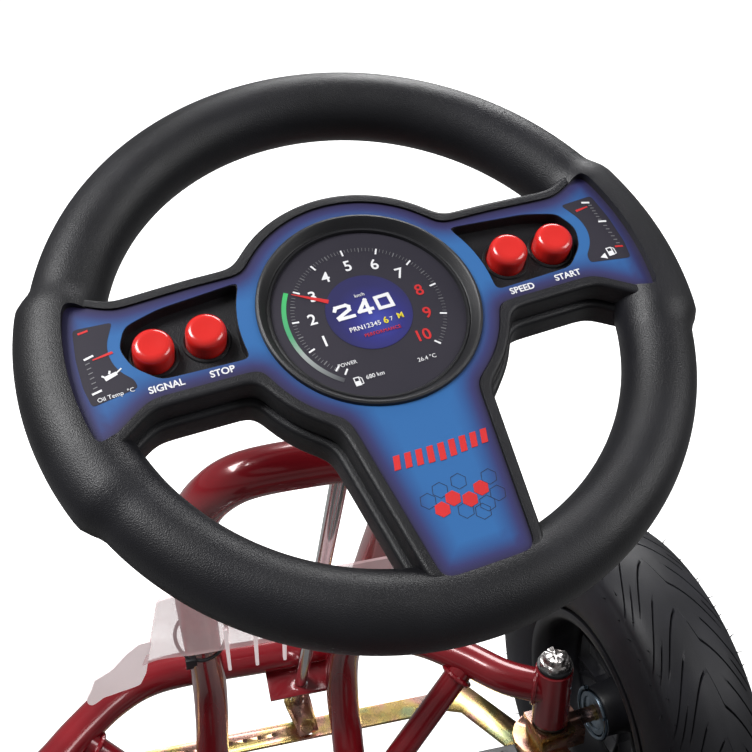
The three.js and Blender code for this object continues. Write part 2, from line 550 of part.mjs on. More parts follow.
function loop(extra) {
  const points = [];
  const arc = ([y, z], r, from, to, steps) => {
    for (let i = 0; i <= steps; i += 1) {
      const a = from + ((to - from) * i) / steps;
      points.push(new THREE.Vector2(y + (r + extra) * Math.cos(a), z + (r + extra) * Math.sin(a)));
    }
  };
  arc(frontCentre, bigR, spanAngle - openAngle, spanAngle + openAngle, 18);
  arc(rearCentre, smallR, spanAngle + openAngle, spanAngle + 2 * Math.PI - openAngle, 12);
  return points;
}

// Extrudes an outline drawn in Y and Z along X.
function acrossX(shape, from, width) {
  const geometry = new THREE.ExtrudeGeometry(shape, { depth: width, bevelEnabled: false });
  const swap = new THREE.Matrix4().set(0, 0, 1, from, 1, 0, 0, 0, 0, 1, 0, 0, 0, 0, 0, 1);
  return geometry.applyMatrix4(swap);
}

const chainShape = new THREE.Shape(loop(5));
chainShape.holes.push(new THREE.Path(loop(0).reverse()));
add(kart, 'chain', acrossX(chainShape, CHAIN_X - 4, 8), STEEL);
const guardShape = new THREE.Shape(loop(12));
for (const [[y, z], r] of [[frontCentre, CRANK_R + 3], [rearCentre, AXLE_R + 3]]) {
  guardShape.holes.push(new THREE.Path(circle(r, 16, y, z)));
}
add(kart, 'chain_guard', acrossX(guardShape, CHAIN_X + 6.5, 2.5), BLACK_GLOSS);

// ---------- rear axle ----------
const rear = new THREE.Group();
rear.position.set(0, REAR_AXLE_Y, TYRE_R);
kart.add(rear);
add(rear, 'rear_axle', bar([-TRACK_HALF - 38, 0, 0], [TRACK_HALF + 38, 0, 0], AXLE_R, 20), STEEL);
add(rear, 'rear_sprocket', gear(SPROCKET_TEETH, AXLE_R).translate(CHAIN_X - 1.2, 0, 0), STEEL);
for (const [side, s] of SIDES) {
  const wheelGroup = new THREE.Group();
  wheelGroup.position.x = s * TRACK_HALF;
  rear.add(wheelGroup);
  roadWheel(wheelGroup, 'rear', side, s, AXLE_R + GAP);

  const earOutline = [
    new THREE.Vector2(-24, RAIL_Z + TUBE_R + GAP), new THREE.Vector2(24, RAIL_Z + TUBE_R + GAP),
    ...circle(22, 16, 0, TYRE_R).filter((p) => p.y > TYRE_R - 4).sort((p, q) => q.x - p.x),
  ];
  const ear = new THREE.Shape(earOutline);
  ear.holes.push(new THREE.Path(circle(15 + GAP, 20, 0, TYRE_R)));
  add(kart, `axle_bracket_${side}`,
    acrossX(ear, s * RAIL_REAR_X - 2.5, 5).translate(0, REAR_AXLE_Y, 0), RED);
  add(kart, `axle_bearing_${side}`, ringX(AXLE_R + GAP, 15, -6, 6, 24)
    .translate(s * RAIL_REAR_X, REAR_AXLE_Y, TYRE_R), STEEL);
}

export default kart;
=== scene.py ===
# %% [markdown]
# # Pedal kart chassis
# A lesson in cells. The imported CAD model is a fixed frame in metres: +X is the driver's right, +Y is
# forward and +Z is up. Every piece below is modelled in millimetres round its own natural centre,
# then settled into the frame, so a drawing's numbers can be typed in as they are.

# %% Load the frame
import json
import math

import bpy
from mathutils import Matrix, Vector, noise


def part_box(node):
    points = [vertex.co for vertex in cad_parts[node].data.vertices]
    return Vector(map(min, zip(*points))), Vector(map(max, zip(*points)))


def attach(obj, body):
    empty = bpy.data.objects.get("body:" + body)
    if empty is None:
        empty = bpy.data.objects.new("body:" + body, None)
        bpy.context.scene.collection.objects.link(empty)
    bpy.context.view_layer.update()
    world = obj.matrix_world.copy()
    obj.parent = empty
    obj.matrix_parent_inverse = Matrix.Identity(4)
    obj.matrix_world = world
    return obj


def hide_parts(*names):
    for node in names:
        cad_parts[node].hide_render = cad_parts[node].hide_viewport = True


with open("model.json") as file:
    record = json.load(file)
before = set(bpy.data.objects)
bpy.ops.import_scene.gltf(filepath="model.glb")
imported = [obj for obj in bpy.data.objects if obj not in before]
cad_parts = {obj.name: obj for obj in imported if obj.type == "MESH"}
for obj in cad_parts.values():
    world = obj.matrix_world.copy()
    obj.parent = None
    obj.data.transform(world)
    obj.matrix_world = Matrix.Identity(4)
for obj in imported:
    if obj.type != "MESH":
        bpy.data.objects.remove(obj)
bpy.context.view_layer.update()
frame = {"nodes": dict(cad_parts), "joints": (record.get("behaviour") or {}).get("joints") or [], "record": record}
JOINTS = {joint["name"]: joint for joint in frame["joints"]}

# %% [markdown]
# The camera comes first, because everything is judged through it. It stands above and behind the
# driver's left shoulder and looks down over the steering wheel. A long lens would flatten the wheel
# and a short one would swell it, so the focal length is the one that gives the rim its slight egg
# shape.

# %% Camera
CAMERA_AT = (-0.0852, -0.2639, 0.8917)
CAMERA_PITCH = -31.8             # degrees above the horizon
CAMERA_YAW = 14.14               # degrees to the right of +Y
CAMERA_ROLL = -0.52
LENS = 57.45                     # mm, on a 36 mm sensor

camera_data = bpy.data.cameras.new("camera")
camera_data.lens = LENS
camera = bpy.data.objects.new("camera", camera_data)
bpy.context.collection.objects.link(camera)
camera.location = CAMERA_AT
turn = (Matrix.Rotation(math.radians(-CAMERA_YAW), 4, "Z")
        @ Matrix.Rotation(math.radians(90 + CAMERA_PITCH), 4, "X")
        @ Matrix.Rotation(math.radians(CAMERA_ROLL), 4, "Z"))
camera.rotation_euler = turn.to_euler()
bpy.context.scene.camera = camera
print("camera", CAMERA_AT)

# %% [markdown]
# The studio is a plain pale floor, a white sky and three large soft lamps. Other pieces reflect the
# floor as if it were grey: a white floor under black plastic would wash it out. Large lamps give the
# long soft highlights that tell the eye a tube is round and a moulding is grained.

# %% Studio
FLOOR_SIZE = 14
FLOOR_GLOW = 0.60                # light of its own that only the camera sees, so the far floor stays pale
FLOOR_SEEN = 0.93                # how pale the floor is to the camera
FLOOR_REFLECTED = 0.20           # the floor as glossy parts and black plastics see it
SKY = 0.22                       # strength of the white sky as a light
world = bpy.data.worlds.new("studio")
world.use_nodes = True
world.node_tree.nodes["Background"].inputs["Color"].default_value = (1, 1, 1, 1)
world.node_tree.nodes["Background"].inputs["Strength"].default_value = SKY
bpy.context.scene.world = world
bpy.context.scene.view_settings.view_transform = "Standard"


def area_lamp(name, at, aim, size, power):
    data = bpy.data.lights.new(name, "AREA")
    data.size = size
    data.energy = power
    lamp = bpy.data.objects.new(name, data)
    bpy.context.collection.objects.link(lamp)
    lamp.location = at
    lamp.rotation_euler = (Vector(aim) - Vector(at)).to_track_quat("-Z", "Y").to_euler()
    return lamp


area_lamp("key_lamp", (-1.2, 0.3, 2.3), (0, 0.2, 0.5), 1.0, 62)
area_lamp("fill_lamp", (1.9, -0.7, 1.9), (0, 0.2, 0.4), 1.2, 28)
area_lamp("rim_lamp", (0.9, 2.2, 2.0), (0, 0.3, 0.5), 1.2, 44)

bpy.ops.mesh.primitive_plane_add(size=FLOOR_SIZE)
floor = bpy.context.object
floor.name = "floor"
paint = bpy.data.materials.new("pale_floor")
paint.use_nodes = True
nodes, links = paint.node_tree.nodes, paint.node_tree.links
shader = nodes["Principled BSDF"]
shader.inputs["Roughness"].default_value = 0.9
shader.inputs["Emission Color"].default_value = (1, 1, 1, 1)
seen = nodes.new("ShaderNodeLightPath").outputs["Is Camera Ray"]
for socket, unseen, when_seen in (("Base Color", FLOOR_REFLECTED, FLOOR_SEEN),
                                  ("Emission Strength", 0, FLOOR_GLOW)):
    choice = nodes.new("ShaderNodeMapRange")
    choice.inputs["To Min"].default_value = unseen
    choice.inputs["To Max"].default_value = when_seen
    links.new(seen, choice.inputs["Value"])
    links.new(choice.outputs["Result"], shader.inputs[socket])
floor.data.materials.append(paint)

# %% [markdown]
# ## Finishes
# Three effects are shared by most materials, so each is a shader node group, built once: a slow drift
# between two colours, the fine grain of a textured mould, and a patchy gloss. A group only puts out
# colours and values; every material keeps its own shader.


# %% Helpers for node groups and materials
def node_group(name, inputs, outputs):
    group = bpy.data.node_groups.new(name, "ShaderNodeTree")
    for label, kind, value in inputs:
        socket = group.interface.new_socket(label, in_out="INPUT", socket_type=kind)
        socket.default_value = value
    for label, kind in outputs:
        group.interface.new_socket(label, in_out="OUTPUT", socket_type=kind)
    nodes = group.nodes
    return group, nodes, group.links, nodes.new("NodeGroupInput"), nodes.new("NodeGroupOutput")


def noise_node(nodes, links, vector, scale, detail=3.0, rough=0.55):
    made = nodes.new("ShaderNodeTexNoise")
    made.inputs["Detail"].default_value = detail
    made.inputs["Roughness"].default_value = rough
    links.new(vector, made.inputs["Vector"])
    if isinstance(scale, (int, float)):
        made.inputs["Scale"].default_value = scale
    else:
        links.new(scale, made.inputs["Scale"])
    return made.outputs["Fac"]


# %% [markdown]
# Colour drift: a moulding or a painted tube is never one flat colour. A slow noise slides between a
# base colour and a second one.

# %% Colour drift group
drift, n, l, ins, outs = node_group(
    "colour_drift",
    [("Base", "NodeSocketColor", (0.5, 0.5, 0.5, 1)), ("Other", "NodeSocketColor", (0.4, 0.4, 0.4, 1)),
     ("Scale", "NodeSocketFloat", 12.0)],
    [("Color", "NodeSocketColor"), ("Mask", "NodeSocketFloat")])
place = n.new("ShaderNodeTexCoord")
cloud = noise_node(n, l, place.outputs["Object"], ins.outputs["Scale"])
ramp = n.new("ShaderNodeValToRGB")
ramp.color_ramp.elements[0].position = 0.38
ramp.color_ramp.elements[1].position = 0.66
l.new(cloud, ramp.inputs["Fac"])
blend = n.new("ShaderNodeMix")
blend.data_type = "RGBA"
l.new(ramp.outputs["Color"], blend.inputs["Factor"])
l.new(ins.outputs["Base"], blend.inputs["A"])
l.new(ins.outputs["Other"], blend.inputs["B"])
l.new(blend.outputs["Result"], outs.inputs["Color"])
l.new(ramp.outputs["Color"], outs.inputs["Mask"])

# %% [markdown]
# Mould grain: a spark-eroded mould leaves pebbles about half a millimetre across. Cells give the
# pebbles and a finer noise breaks them up.

# %% Mould grain group
grain, n, l, ins, outs = node_group(
    "mould_grain",
    [("Scale", "NodeSocketFloat", 1500.0)],
    [("Height", "NodeSocketFloat"), ("Speck", "NodeSocketFloat")])
place = n.new("ShaderNodeTexCoord")
cells = n.new("ShaderNodeTexVoronoi")
cells.feature = "SMOOTH_F1"
l.new(place.outputs["Object"], cells.inputs["Vector"])
l.new(ins.outputs["Scale"], cells.inputs["Scale"])
fine = noise_node(n, l, place.outputs["Object"], ins.outputs["Scale"], 2.0)
total = n.new("ShaderNodeMath")
total.operation = "MULTIPLY_ADD"
total.inputs[1].default_value = 0.5
l.new(fine, total.inputs[0])
l.new(cells.outputs["Distance"], total.inputs[2])
l.new(total.outputs["Value"], outs.inputs["Height"])
l.new(fine, outs.inputs["Speck"])

# %% [markdown]
# Patchy gloss: fingers, polish and flow marks change how sharp a reflection is. A soft noise moves
# the roughness up and down round its mean.

# %% Patchy gloss group
gloss, n, l, ins, outs = node_group(
    "patchy_gloss",
    [("Mean", "NodeSocketFloat", 0.4), ("Spread", "NodeSocketFloat", 0.1),
     ("Scale", "NodeSocketFloat", 40.0)],
    [("Roughness", "NodeSocketFloat")])
place = n.new("ShaderNodeTexCoord")
cloud = noise_node(n, l, place.outputs["Object"], ins.outputs["Scale"], 4.0)
centred = n.new("ShaderNodeMath")
centred.operation = "SUBTRACT"
centred.inputs[1].default_value = 0.5
l.new(cloud, centred.inputs[0])
spread = n.new("ShaderNodeMath")
spread.operation = "MULTIPLY_ADD"
l.new(centred.outputs["Value"], spread.inputs[0])
l.new(ins.outputs["Spread"], spread.inputs[1])
l.new(ins.outputs["Mean"], spread.inputs[2])
l.new(spread.outputs["Value"], outs.inputs["Roughness"])
print("node groups", [group.name for group in bpy.data.node_groups])


# %% [markdown]
# One function lays out a finish: colour drift into Base Color, patchy gloss into Roughness, and a
# bump from the mould grain when a grain scale is given. Values that are the same all over go
# straight onto the shader's sockets.

# %% Finish function
def finish(name, base, other, roughness, spread=0.12, metallic=0.0, drift_scale=14.0, gloss_scale=45.0,
           grain_scale=0.0, bump=0.0, bump_depth=0.0002, coat=0.0, coat_roughness=0.05, specular=0.5):
    made = bpy.data.materials.new(name)
    made.use_nodes = True
    nodes, links = made.node_tree.nodes, made.node_tree.links
    shader = nodes["Principled BSDF"]
    shader.inputs["Metallic"].default_value = metallic
    shader.inputs["Coat Weight"].default_value = coat
    shader.inputs["Coat Roughness"].default_value = coat_roughness
    shader.inputs["Specular IOR Level"].default_value = specular
    colour = nodes.new("ShaderNodeGroup")
    colour.node_tree = drift
    colour.inputs["Base"].default_value = (*base, 1)
    colour.inputs["Other"].default_value = (*other, 1)
    colour.inputs["Scale"].default_value = drift_scale
    links.new(colour.outputs["Color"], shader.inputs["Base Color"])
    patches = nodes.new("ShaderNodeGroup")
    patches.node_tree = gloss
    patches.inputs["Mean"].default_value = roughness
    patches.inputs["Spread"].default_value = spread
    patches.inputs["Scale"].default_value = gloss_scale
    links.new(patches.outputs["Roughness"], shader.inputs["Roughness"])
    if grain_scale:
        pebbles = nodes.new("ShaderNodeGroup")
        pebbles.node_tree = grain
        pebbles.inputs["Scale"].default_value = grain_scale
        relief = nodes.new("ShaderNodeBump")
        relief.inputs["Strength"].default_value = bump
        relief.inputs["Distance"].default_value = bump_depth
        links.new(pebbles.outputs["Height"], relief.inputs["Height"])
        links.new(relief.outputs["Normal"], shader.inputs["Normal"])
    return made


# %% Finishes of the kart
RED_PAINT = finish("red_paint", (0.235, 0.007, 0.013), (0.165, 0.004, 0.009), 0.25, metallic=0.1, coat=0.7,
                   grain_scale=260, bump=0.05)
GRAINED_BLACK = finish("grained_black", (0.0055, 0.0055, 0.007), (0.009, 0.009, 0.012), 0.44, spread=0.22,
                       grain_scale=2300, bump=0.6, bump_depth=0.0002, specular=0.36)
FINE_BLACK = finish("fine_black", (0.006, 0.006, 0.007), (0.010, 0.010, 0.012), 0.42, grain_scale=2600,
                    bump=0.3, specular=0.4)
SMOOTH_BLACK = finish("smooth_black", (0.006, 0.006, 0.008), (0.011, 0.011, 0.013), 0.38, grain_scale=700,
                      bump=0.05, specular=0.36)
DIAL_CHARCOAL = finish("dial_charcoal", (0.026, 0.023, 0.033), (0.021, 0.019, 0.028), 0.5, spread=0.06,
                       grain_scale=2400, bump=0.06, specular=0.25)
BUTTON_RED = finish("button_red", (0.60, 0.020, 0.016), (0.53, 0.016, 0.013), 0.22, spread=0.05, coat=0.35,
                    grain_scale=900, bump=0.02)
BRIGHT_ROD = finish("bright_rod", (0.80, 0.81, 0.82), (0.66, 0.68, 0.69), 0.15, metallic=1.0,
                    gloss_scale=160, grain_scale=2200, bump=0.05)
ZINC_PLATE = finish("zinc_plate", (0.66, 0.62, 0.60), (0.42, 0.40, 0.40), 0.28, metallic=1.0, drift_scale=90,
                    grain_scale=500, bump=0.35, bump_depth=0.0006)
STEEL = finish("plain_steel", (0.42, 0.42, 0.43), (0.30, 0.30, 0.31), 0.34, metallic=1.0, drift_scale=30,
               grain_scale=900, bump=0.10)
BEARING_STEEL = finish("bearing_steel", (0.10, 0.135, 0.175), (0.22, 0.28, 0.34), 0.26, metallic=1.0,
                       drift_scale=60, grain_scale=1500, bump=0.05)
RUBBER = finish("tyre_rubber", (0.0095, 0.0095, 0.012), (0.015, 0.015, 0.019), 0.52, spread=0.2,
                drift_scale=22, grain_scale=1500, bump=0.25, specular=0.32)
NYLON = finish("black_nylon", (0.010, 0.010, 0.012), (0.016, 0.016, 0.018), 0.42, grain_scale=1800, bump=0.2)
PRINT_WHITE = finish("print_white", (0.74, 0.74, 0.76), (0.64, 0.64, 0.66), 0.4, grain_scale=2000, bump=0.05)
PRINT_RED = finish("print_red", (0.56, 0.022, 0.024), (0.46, 0.016, 0.018), 0.4, grain_scale=2000, bump=0.05)
PRINT_YELLOW = finish("print_yellow", (0.66, 0.55, 0.04), (0.58, 0.47, 0.03), 0.4, grain_scale=2000,
                      bump=0.05)
PRINT_GREY = finish("print_grey", (0.17, 0.17, 0.18), (0.12, 0.12, 0.13), 0.4, grain_scale=2000, bump=0.05)
print(len(bpy.data.materials), "materials so far")

# %% [markdown]
# Yellow zinc plate is a thin film that shows interference colours: gold, pink and pale green drift
# into each other within a centimetre or two. A colour ramp over a noise holds those three hues, and
# the film stays fully metallic.

# %% Yellow zinc
FILM_SCALE = 34.0                # one hue lasts a centimetre or two
YELLOW_ZINC = finish("yellow_zinc", (0.7, 0.5, 0.2), (0.7, 0.4, 0.3), 0.27, metallic=1.0, gloss_scale=90,
                     grain_scale=900, bump=0.08)
tree = YELLOW_ZINC.node_tree
place = tree.nodes.new("ShaderNodeTexCoord")
film = noise_node(tree.nodes, tree.links, place.outputs["Object"], FILM_SCALE, 2.5)
hues = tree.nodes.new("ShaderNodeValToRGB")
HUES = [(0.34, (0.42, 0.46, 0.24, 1)), (0.43, (0.60, 0.44, 0.15, 1)), (0.50, (0.62, 0.42, 0.20, 1)),
        (0.57, (0.60, 0.32, 0.25, 1)), (0.68, (0.42, 0.30, 0.27, 1))]
for at, colour in HUES[1:-1]:
    hues.color_ramp.elements.new(at).color = colour
hues.color_ramp.elements[0].position, hues.color_ramp.elements[0].color = HUES[0]
hues.color_ramp.elements[-1].position, hues.color_ramp.elements[-1].color = HUES[-1]
tree.links.new(film, hues.inputs["Fac"])
tree.links.new(hues.outputs["Color"], tree.nodes["Principled BSDF"].inputs["Base Color"])

# %% [markdown]
# The front panel is a frosted sheet that lets the red tubes show through. Its Alpha carries a faint
# cloud, so the frost is uneven as on scuffed plastic. A pale pink emission on it is painted glow,
# standing in for light that the thin sheet passes on from behind. Its drooping wings are the same
# stuff painted as if seen with more light on it: paler, with a stronger painted glow, and they let
# less through.

# %% Frosted sheet
FROST_SCALE = 16.0
# Painted glow: the frosted finishes emit this pale pink, standing in for light passed on from behind.
PAINTED_PINK_GLOW = (1, 0.90, 0.91, 1)  # light that the thin sheet passes on from behind


def frosted(name, base, other, least, most, glow):
    made = finish(name, base, other, 0.42, drift_scale=9, grain_scale=1200, bump=0.1)
    nodes, links = made.node_tree.nodes, made.node_tree.links
    nodes["Principled BSDF"].inputs["Emission Color"].default_value = PAINTED_PINK_GLOW
    nodes["Principled BSDF"].inputs["Emission Strength"].default_value = glow
    where = nodes.new("ShaderNodeTexCoord")
    span = nodes.new("ShaderNodeMapRange")
    span.inputs["To Min"].default_value = least
    span.inputs["To Max"].default_value = most
    links.new(noise_node(nodes, links, where.outputs["Object"], FROST_SCALE), span.inputs["Value"])
    links.new(span.outputs["Result"], nodes["Principled BSDF"].inputs["Alpha"])
    return made


FROSTED = frosted("frosted_sheet", (0.72, 0.46, 0.48), (0.86, 0.64, 0.65), 0.36, 0.62, 0.10)
# The wing finish, also used on the fins, is a painted lit copy of the sheet's: paler, with a stronger painted
# glow.
FROSTED_WING = frosted("frosted_wing", (0.95, 0.84, 0.85), (0.97, 0.89, 0.89), 0.86, 0.98, 0.32)

# %% [markdown]
# The printed foil on the steering wheel is bright blue in the middle of each field and falls to navy,
# then to violet, at its outer edge. Each point of the foil carries its distance to that edge as an
# attribute called inset, from 0 to 1, and a ramp turns it into colour.

# %% Printed foil and the digital centre
def foil(name, attribute, stops, roughness):
    made = finish(name, stops[0][1], stops[-1][1], roughness, spread=0.05, grain_scale=2200, bump=0.06,
                  coat=0.25, coat_roughness=0.25)
    nodes, links = made.node_tree.nodes, made.node_tree.links
    read = nodes.new("ShaderNodeAttribute")
    read.attribute_name = attribute
    blend_ramp = nodes.new("ShaderNodeValToRGB")
    for at, colour in stops[1:-1]:
        blend_ramp.color_ramp.elements.new(at).color = (*colour, 1)
    for index in (0, -1):
        blend_ramp.color_ramp.elements[index].position = stops[index][0]
        blend_ramp.color_ramp.elements[index].color = (*stops[index][1], 1)
    links.new(read.outputs["Fac"], blend_ramp.inputs["Fac"])
    links.new(blend_ramp.outputs["Color"], nodes["Principled BSDF"].inputs["Base Color"])
    return made


BLUE_FOIL = foil("blue_foil", "inset", [(0.0, (0.020, 0.015, 0.050)), (0.28, (0.026, 0.028, 0.110)),
                                        (0.60, (0.020, 0.068, 0.215)), (1.0, (0.022, 0.112, 0.31))], 0.36)
SCREEN_BLUE = foil("screen_blue", "inset", [(0.0, (0.013, 0.012, 0.075)), (0.45, (0.017, 0.017, 0.150)),
                                            (1.0, (0.035, 0.048, 0.30))], 0.4)

# %% [markdown]
# ## Helpers for the pieces
# A piece starts as a primitive or a drawn outline, is shaped in edit mode, and is then settled: its
# place is written into its mesh, it gets its finish, and it rides on the body that carries it.
# Operators act on whatever is selected, so each helper deselects everything first.

# %% Selecting and finishing
MM = 0.001
KART = Matrix.Scale(MM, 4)


def activate(node):
    bpy.ops.object.select_all(action="DESELECT")
    node.select_set(True)
    bpy.context.view_layer.objects.active = node


def pick(node, test):
    """Edit mode with only the faces that pass the test selected."""
    activate(node)
    bpy.ops.object.mode_set(mode="EDIT")
    bpy.ops.mesh.select_mode(type="FACE")
    bpy.ops.mesh.select_all(action="DESELECT")
    bpy.ops.object.mode_set(mode="OBJECT")
    for face in node.data.polygons:
        face.select = test(face)
    bpy.ops.object.mode_set(mode="EDIT")


def done():
    bpy.ops.object.mode_set(mode="OBJECT")


def weld(node, outward=True):
    """Merges doubled vertices and turns the faces outwards."""
    activate(node)
    bpy.ops.object.mode_set(mode="EDIT")
    bpy.ops.mesh.select_all(action="SELECT")
    bpy.ops.mesh.remove_doubles(threshold=0.002)
    bpy.ops.mesh.normals_make_consistent(inside=not outward)
    done()
    return node


def bevel(node, width, segments=2, angle=35):
    activate(node)
    edge = node.modifiers.new("edge", "BEVEL")
    edge.width = width
    edge.segments = segments
    edge.limit_method = "ANGLE"
    edge.angle_limit = math.radians(angle)
    edge.use_clamp_overlap = True
    bpy.ops.object.modifier_apply(modifier=edge.name)
    return node


def cut(node, *cutters):
    """Takes each cutter out of the piece, then throws the cutter away."""
    for cutter in cutters:
        activate(node)
        hole = node.modifiers.new("hole", "BOOLEAN")
        hole.operation = "DIFFERENCE"
        hole.solver = "EXACT"
        hole.object = cutter
        bpy.ops.object.modifier_apply(modifier=hole.name)
        bpy.data.objects.remove(cutter)
    return node


def join(name, nodes):
    activate(nodes[0])
    for node in nodes:
        node.select_set(True)
    bpy.ops.object.join()
    nodes[0].name = name
    return nodes[0]


def settle(node, name, body, material, place=KART, stands_for=(), angle=35, flip=False):
    """Writes the place into the mesh, gives the finish and hangs the piece on its body."""
    node.data.transform(place)
    if flip:
        node.data.flip_normals()
    node.data.update()
    node.name = name
    node.data.name = name
    node.data.materials.clear()
    node.data.materials.append(material)
    activate(node)
    bpy.ops.object.shade_smooth_by_angle(angle=math.radians(angle))
    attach(node, body)
    if stands_for:
        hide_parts(*stands_for)
    return node


def twin(node):
    """A copy with a mesh of its own."""
    other = node.copy()
    other.data = node.data.copy()
    bpy.context.collection.objects.link(other)
    return other


def node_of(name, points, edges, faces):
    mesh = bpy.data.meshes.new(name)
    mesh.from_pydata(points, edges, faces)
    node = bpy.data.objects.new(name, mesh)
    bpy.context.collection.objects.link(node)
    return node


# %% Turned, cut and bent shapes
def slab(name, outlines, low, high):
    """Flat outlines, each extruded from low to high."""
    if isinstance(outlines[0][0], (int, float)):
        outlines = [outlines]
    points, faces = [], []
    for outline in outlines:
        faces.append(range(len(points), len(points) + len(outline)))
        points += [(x, y, low) for x, y in outline]
    node = node_of(name, points, [], faces)
    activate(node)
    bpy.ops.object.mode_set(mode="EDIT")
    bpy.ops.mesh.select_mode(type="FACE")
    bpy.ops.mesh.select_all(action="SELECT")
    bpy.ops.mesh.extrude_region_move(TRANSFORM_OT_translate={"value": (0, 0, high - low)})
    bpy.ops.mesh.select_all(action="SELECT")
    bpy.ops.mesh.normals_make_consistent(inside=False)
    done()
    return node


def lathe(name, profile, steps=72):
    """A closed profile of (radius, height) spun round Z."""
    count = len(profile)
    edges = [(i, i + 1) for i in range(count - 1)]
    if profile[0][0] > 0.001 or profile[-1][0] > 0.001:
        edges.append((count - 1, 0))
    node = node_of(name, [(r, 0, z) for r, z in profile], edges, [])
    activate(node)
    bpy.ops.object.mode_set(mode="EDIT")
    bpy.ops.mesh.select_mode(type="VERT")
    bpy.ops.mesh.select_all(action="SELECT")
    bpy.ops.mesh.spin(steps=steps, angle=2 * math.pi, center=(0, 0, 0), axis=(0, 0, 1))
    done()
    return weld(node)


def through(points, step=5.0):
    """Points along a smooth path through the given ones, with no overshoot at tight corners."""
    route = [Vector(p) for p in points]
    route = [2 * route[0] - route[1]] + route + [2 * route[-1] - route[-2]]
    path = []
    for p0, p1, p2, p3 in zip(route, route[1:], route[2:], route[3:]):
        t1 = (p1 - p0).length ** 0.5
        t2 = t1 + (p2 - p1).length ** 0.5
        t3 = t2 + (p3 - p2).length ** 0.5
        count = max(2, round((p2 - p1).length / step))
        for i in range(count):
            t = t1 + (t2 - t1) * i / count
            a1 = p0 * (t1 - t) / t1 + p1 * t / t1
            a2 = p1 * (t2 - t) / (t2 - t1) + p2 * (t - t1) / (t2 - t1)
            a3 = p2 * (t3 - t) / (t3 - t2) + p3 * (t - t2) / (t3 - t2)
            b1 = a1 * (t2 - t) / t2 + a2 * t / t2
            b2 = a2 * (t3 - t) / (t3 - t1) + a3 * (t - t1) / (t3 - t1)
            path.append(b1 * (t2 - t) / (t2 - t1) + b2 * (t - t1) / (t2 - t1))
    return path + [route[-2]]


def tube(name, points, radius, step=5.0, cyclic=False, rings=5):
    """A round bar or tube bent through the points."""
    path = through(points, step) if not cyclic else [Vector(p) for p in points]
    curve = bpy.data.curves.new(name, "CURVE")
    curve.dimensions = "3D"
    curve.bevel_depth = radius
    curve.bevel_resolution = rings
    curve.use_fill_caps = True
    line = curve.splines.new("POLY")
    line.use_cyclic_u = cyclic
    line.points.add(len(path) - 1)
    for point, at in zip(line.points, path):
        point.co = (*at, 1)
    node = bpy.data.objects.new(name, curve)
    bpy.context.collection.objects.link(node)
    activate(node)
    bpy.ops.object.convert(target="MESH")
    return weld(bpy.context.object)


def rod(name, start, end, radius, sides=32, edge=0.0):
    """A straight round bar with softened ends, from start to end."""
    start, end = Vector(start), Vector(end)
    bpy.ops.object.select_all(action="DESELECT")
    bpy.ops.mesh.primitive_cylinder_add(vertices=sides, radius=radius, depth=(end - start).length,
                                        location=(start + end) / 2,
                                        rotation=(end - start).to_track_quat("Z", "Y").to_euler())
    bpy.ops.object.transform_apply(location=True, rotation=True, scale=True)
    node = bpy.context.object
    node.name = name
    return bevel(node, edge, 2, 50) if edge else node


# %% Outlines
def arc(centre, radius, first, last, count=24):
    """Points on an arc; angles in degrees."""
    turns = [math.radians(first + (last - first) * i / count) for i in range(count + 1)]
    return [(centre[0] + radius * math.cos(t), centre[1] + radius * math.sin(t)) for t in turns]


def soften(outline, spacing, passes):
    """The closed outline with even points and rounded corners."""
    ring = [Vector(p) for p in outline]
    even = []
    for a, b in zip(ring, ring[1:] + ring[:1]):
        count = max(1, round((b - a).length / spacing))
        even += [a.lerp(b, i / count) for i in range(count)]
    for _ in range(passes):
        even = [(even[i - 1] + 2 * even[i] + even[(i + 1) % len(even)]) / 4 for i in range(len(even))]
    return [tuple(p) for p in even]


def mirrored(outline):
    return [(-x, y) for x, y in reversed(outline)]


def edge_distance(point, outline):
    """Distance from a flat point to the nearest side of a closed outline."""
    best = 1e9
    for (ax, ay), (bx, by) in zip(outline, outline[1:] + outline[:1]):
        dx, dy = bx - ax, by - ay
        along = ((point[0] - ax) * dx + (point[1] - ay) * dy) / max(dx * dx + dy * dy, 1e-9)
        along = min(1.0, max(0.0, along))
        best = min(best, (point[0] - ax - along * dx) ** 2 + (point[1] - ay - along * dy) ** 2)
    return best ** 0.5


def mark(node, attribute, value_at):
    """Writes one number per vertex, for a material to read."""
    layer = node.data.attributes.new(attribute, "FLOAT", "POINT")
    for vertex in node.data.vertices:
        layer.data[vertex.index].value = value_at(vertex.co)


print("helpers ready")

# %% [markdown]
# ## Steering wheel
# The wheel is modelled lying flat round its own centre, with +Y towards the top of the dial and +Z
# towards the driver, then tilted onto its column. The steering joint gives the place and the tilt.

# %% Place of the wheel
WHEEL_TURN = 9                   # degrees the wheel is turned to the left at rest
pivot = JOINTS["steering_turn"]
column_tilt = math.acos(pivot["axis"][2])
COLUMN = Matrix.Translation(pivot["pos_m"]) @ Matrix.Rotation(column_tilt, 4, "X")
ON_WHEEL = COLUMN @ Matrix.Rotation(math.radians(WHEEL_TURN), 4, "Z") @ KART
print("column tilt", round(math.degrees(column_tilt), 2))

# %% [markdown]
# The grip is a fat moulded ring in two halves. A torus gives the ring; a fine groove is bevelled and
# pushed in where the halves meet; then the vertices at the two hand positions move outwards to make
# the four palm swells with their sharp shoulders.

# %% Grip of the wheel
RIM_R = 126.7
RIM_TUBE = 16.0
RIM_SEGMENTS = 320
TUBE_SEGMENTS = 56
SEAM_SIDE = -TUBE_SEGMENTS // 9   # how many segments below the widest point the seam runs
SWELL_OUT = 4.4
SWELL_UP = 1.6
SWELLS = [(-20, 22), (156, 204)]
SHOULDER = 5.0                   # degrees over which a swell rises

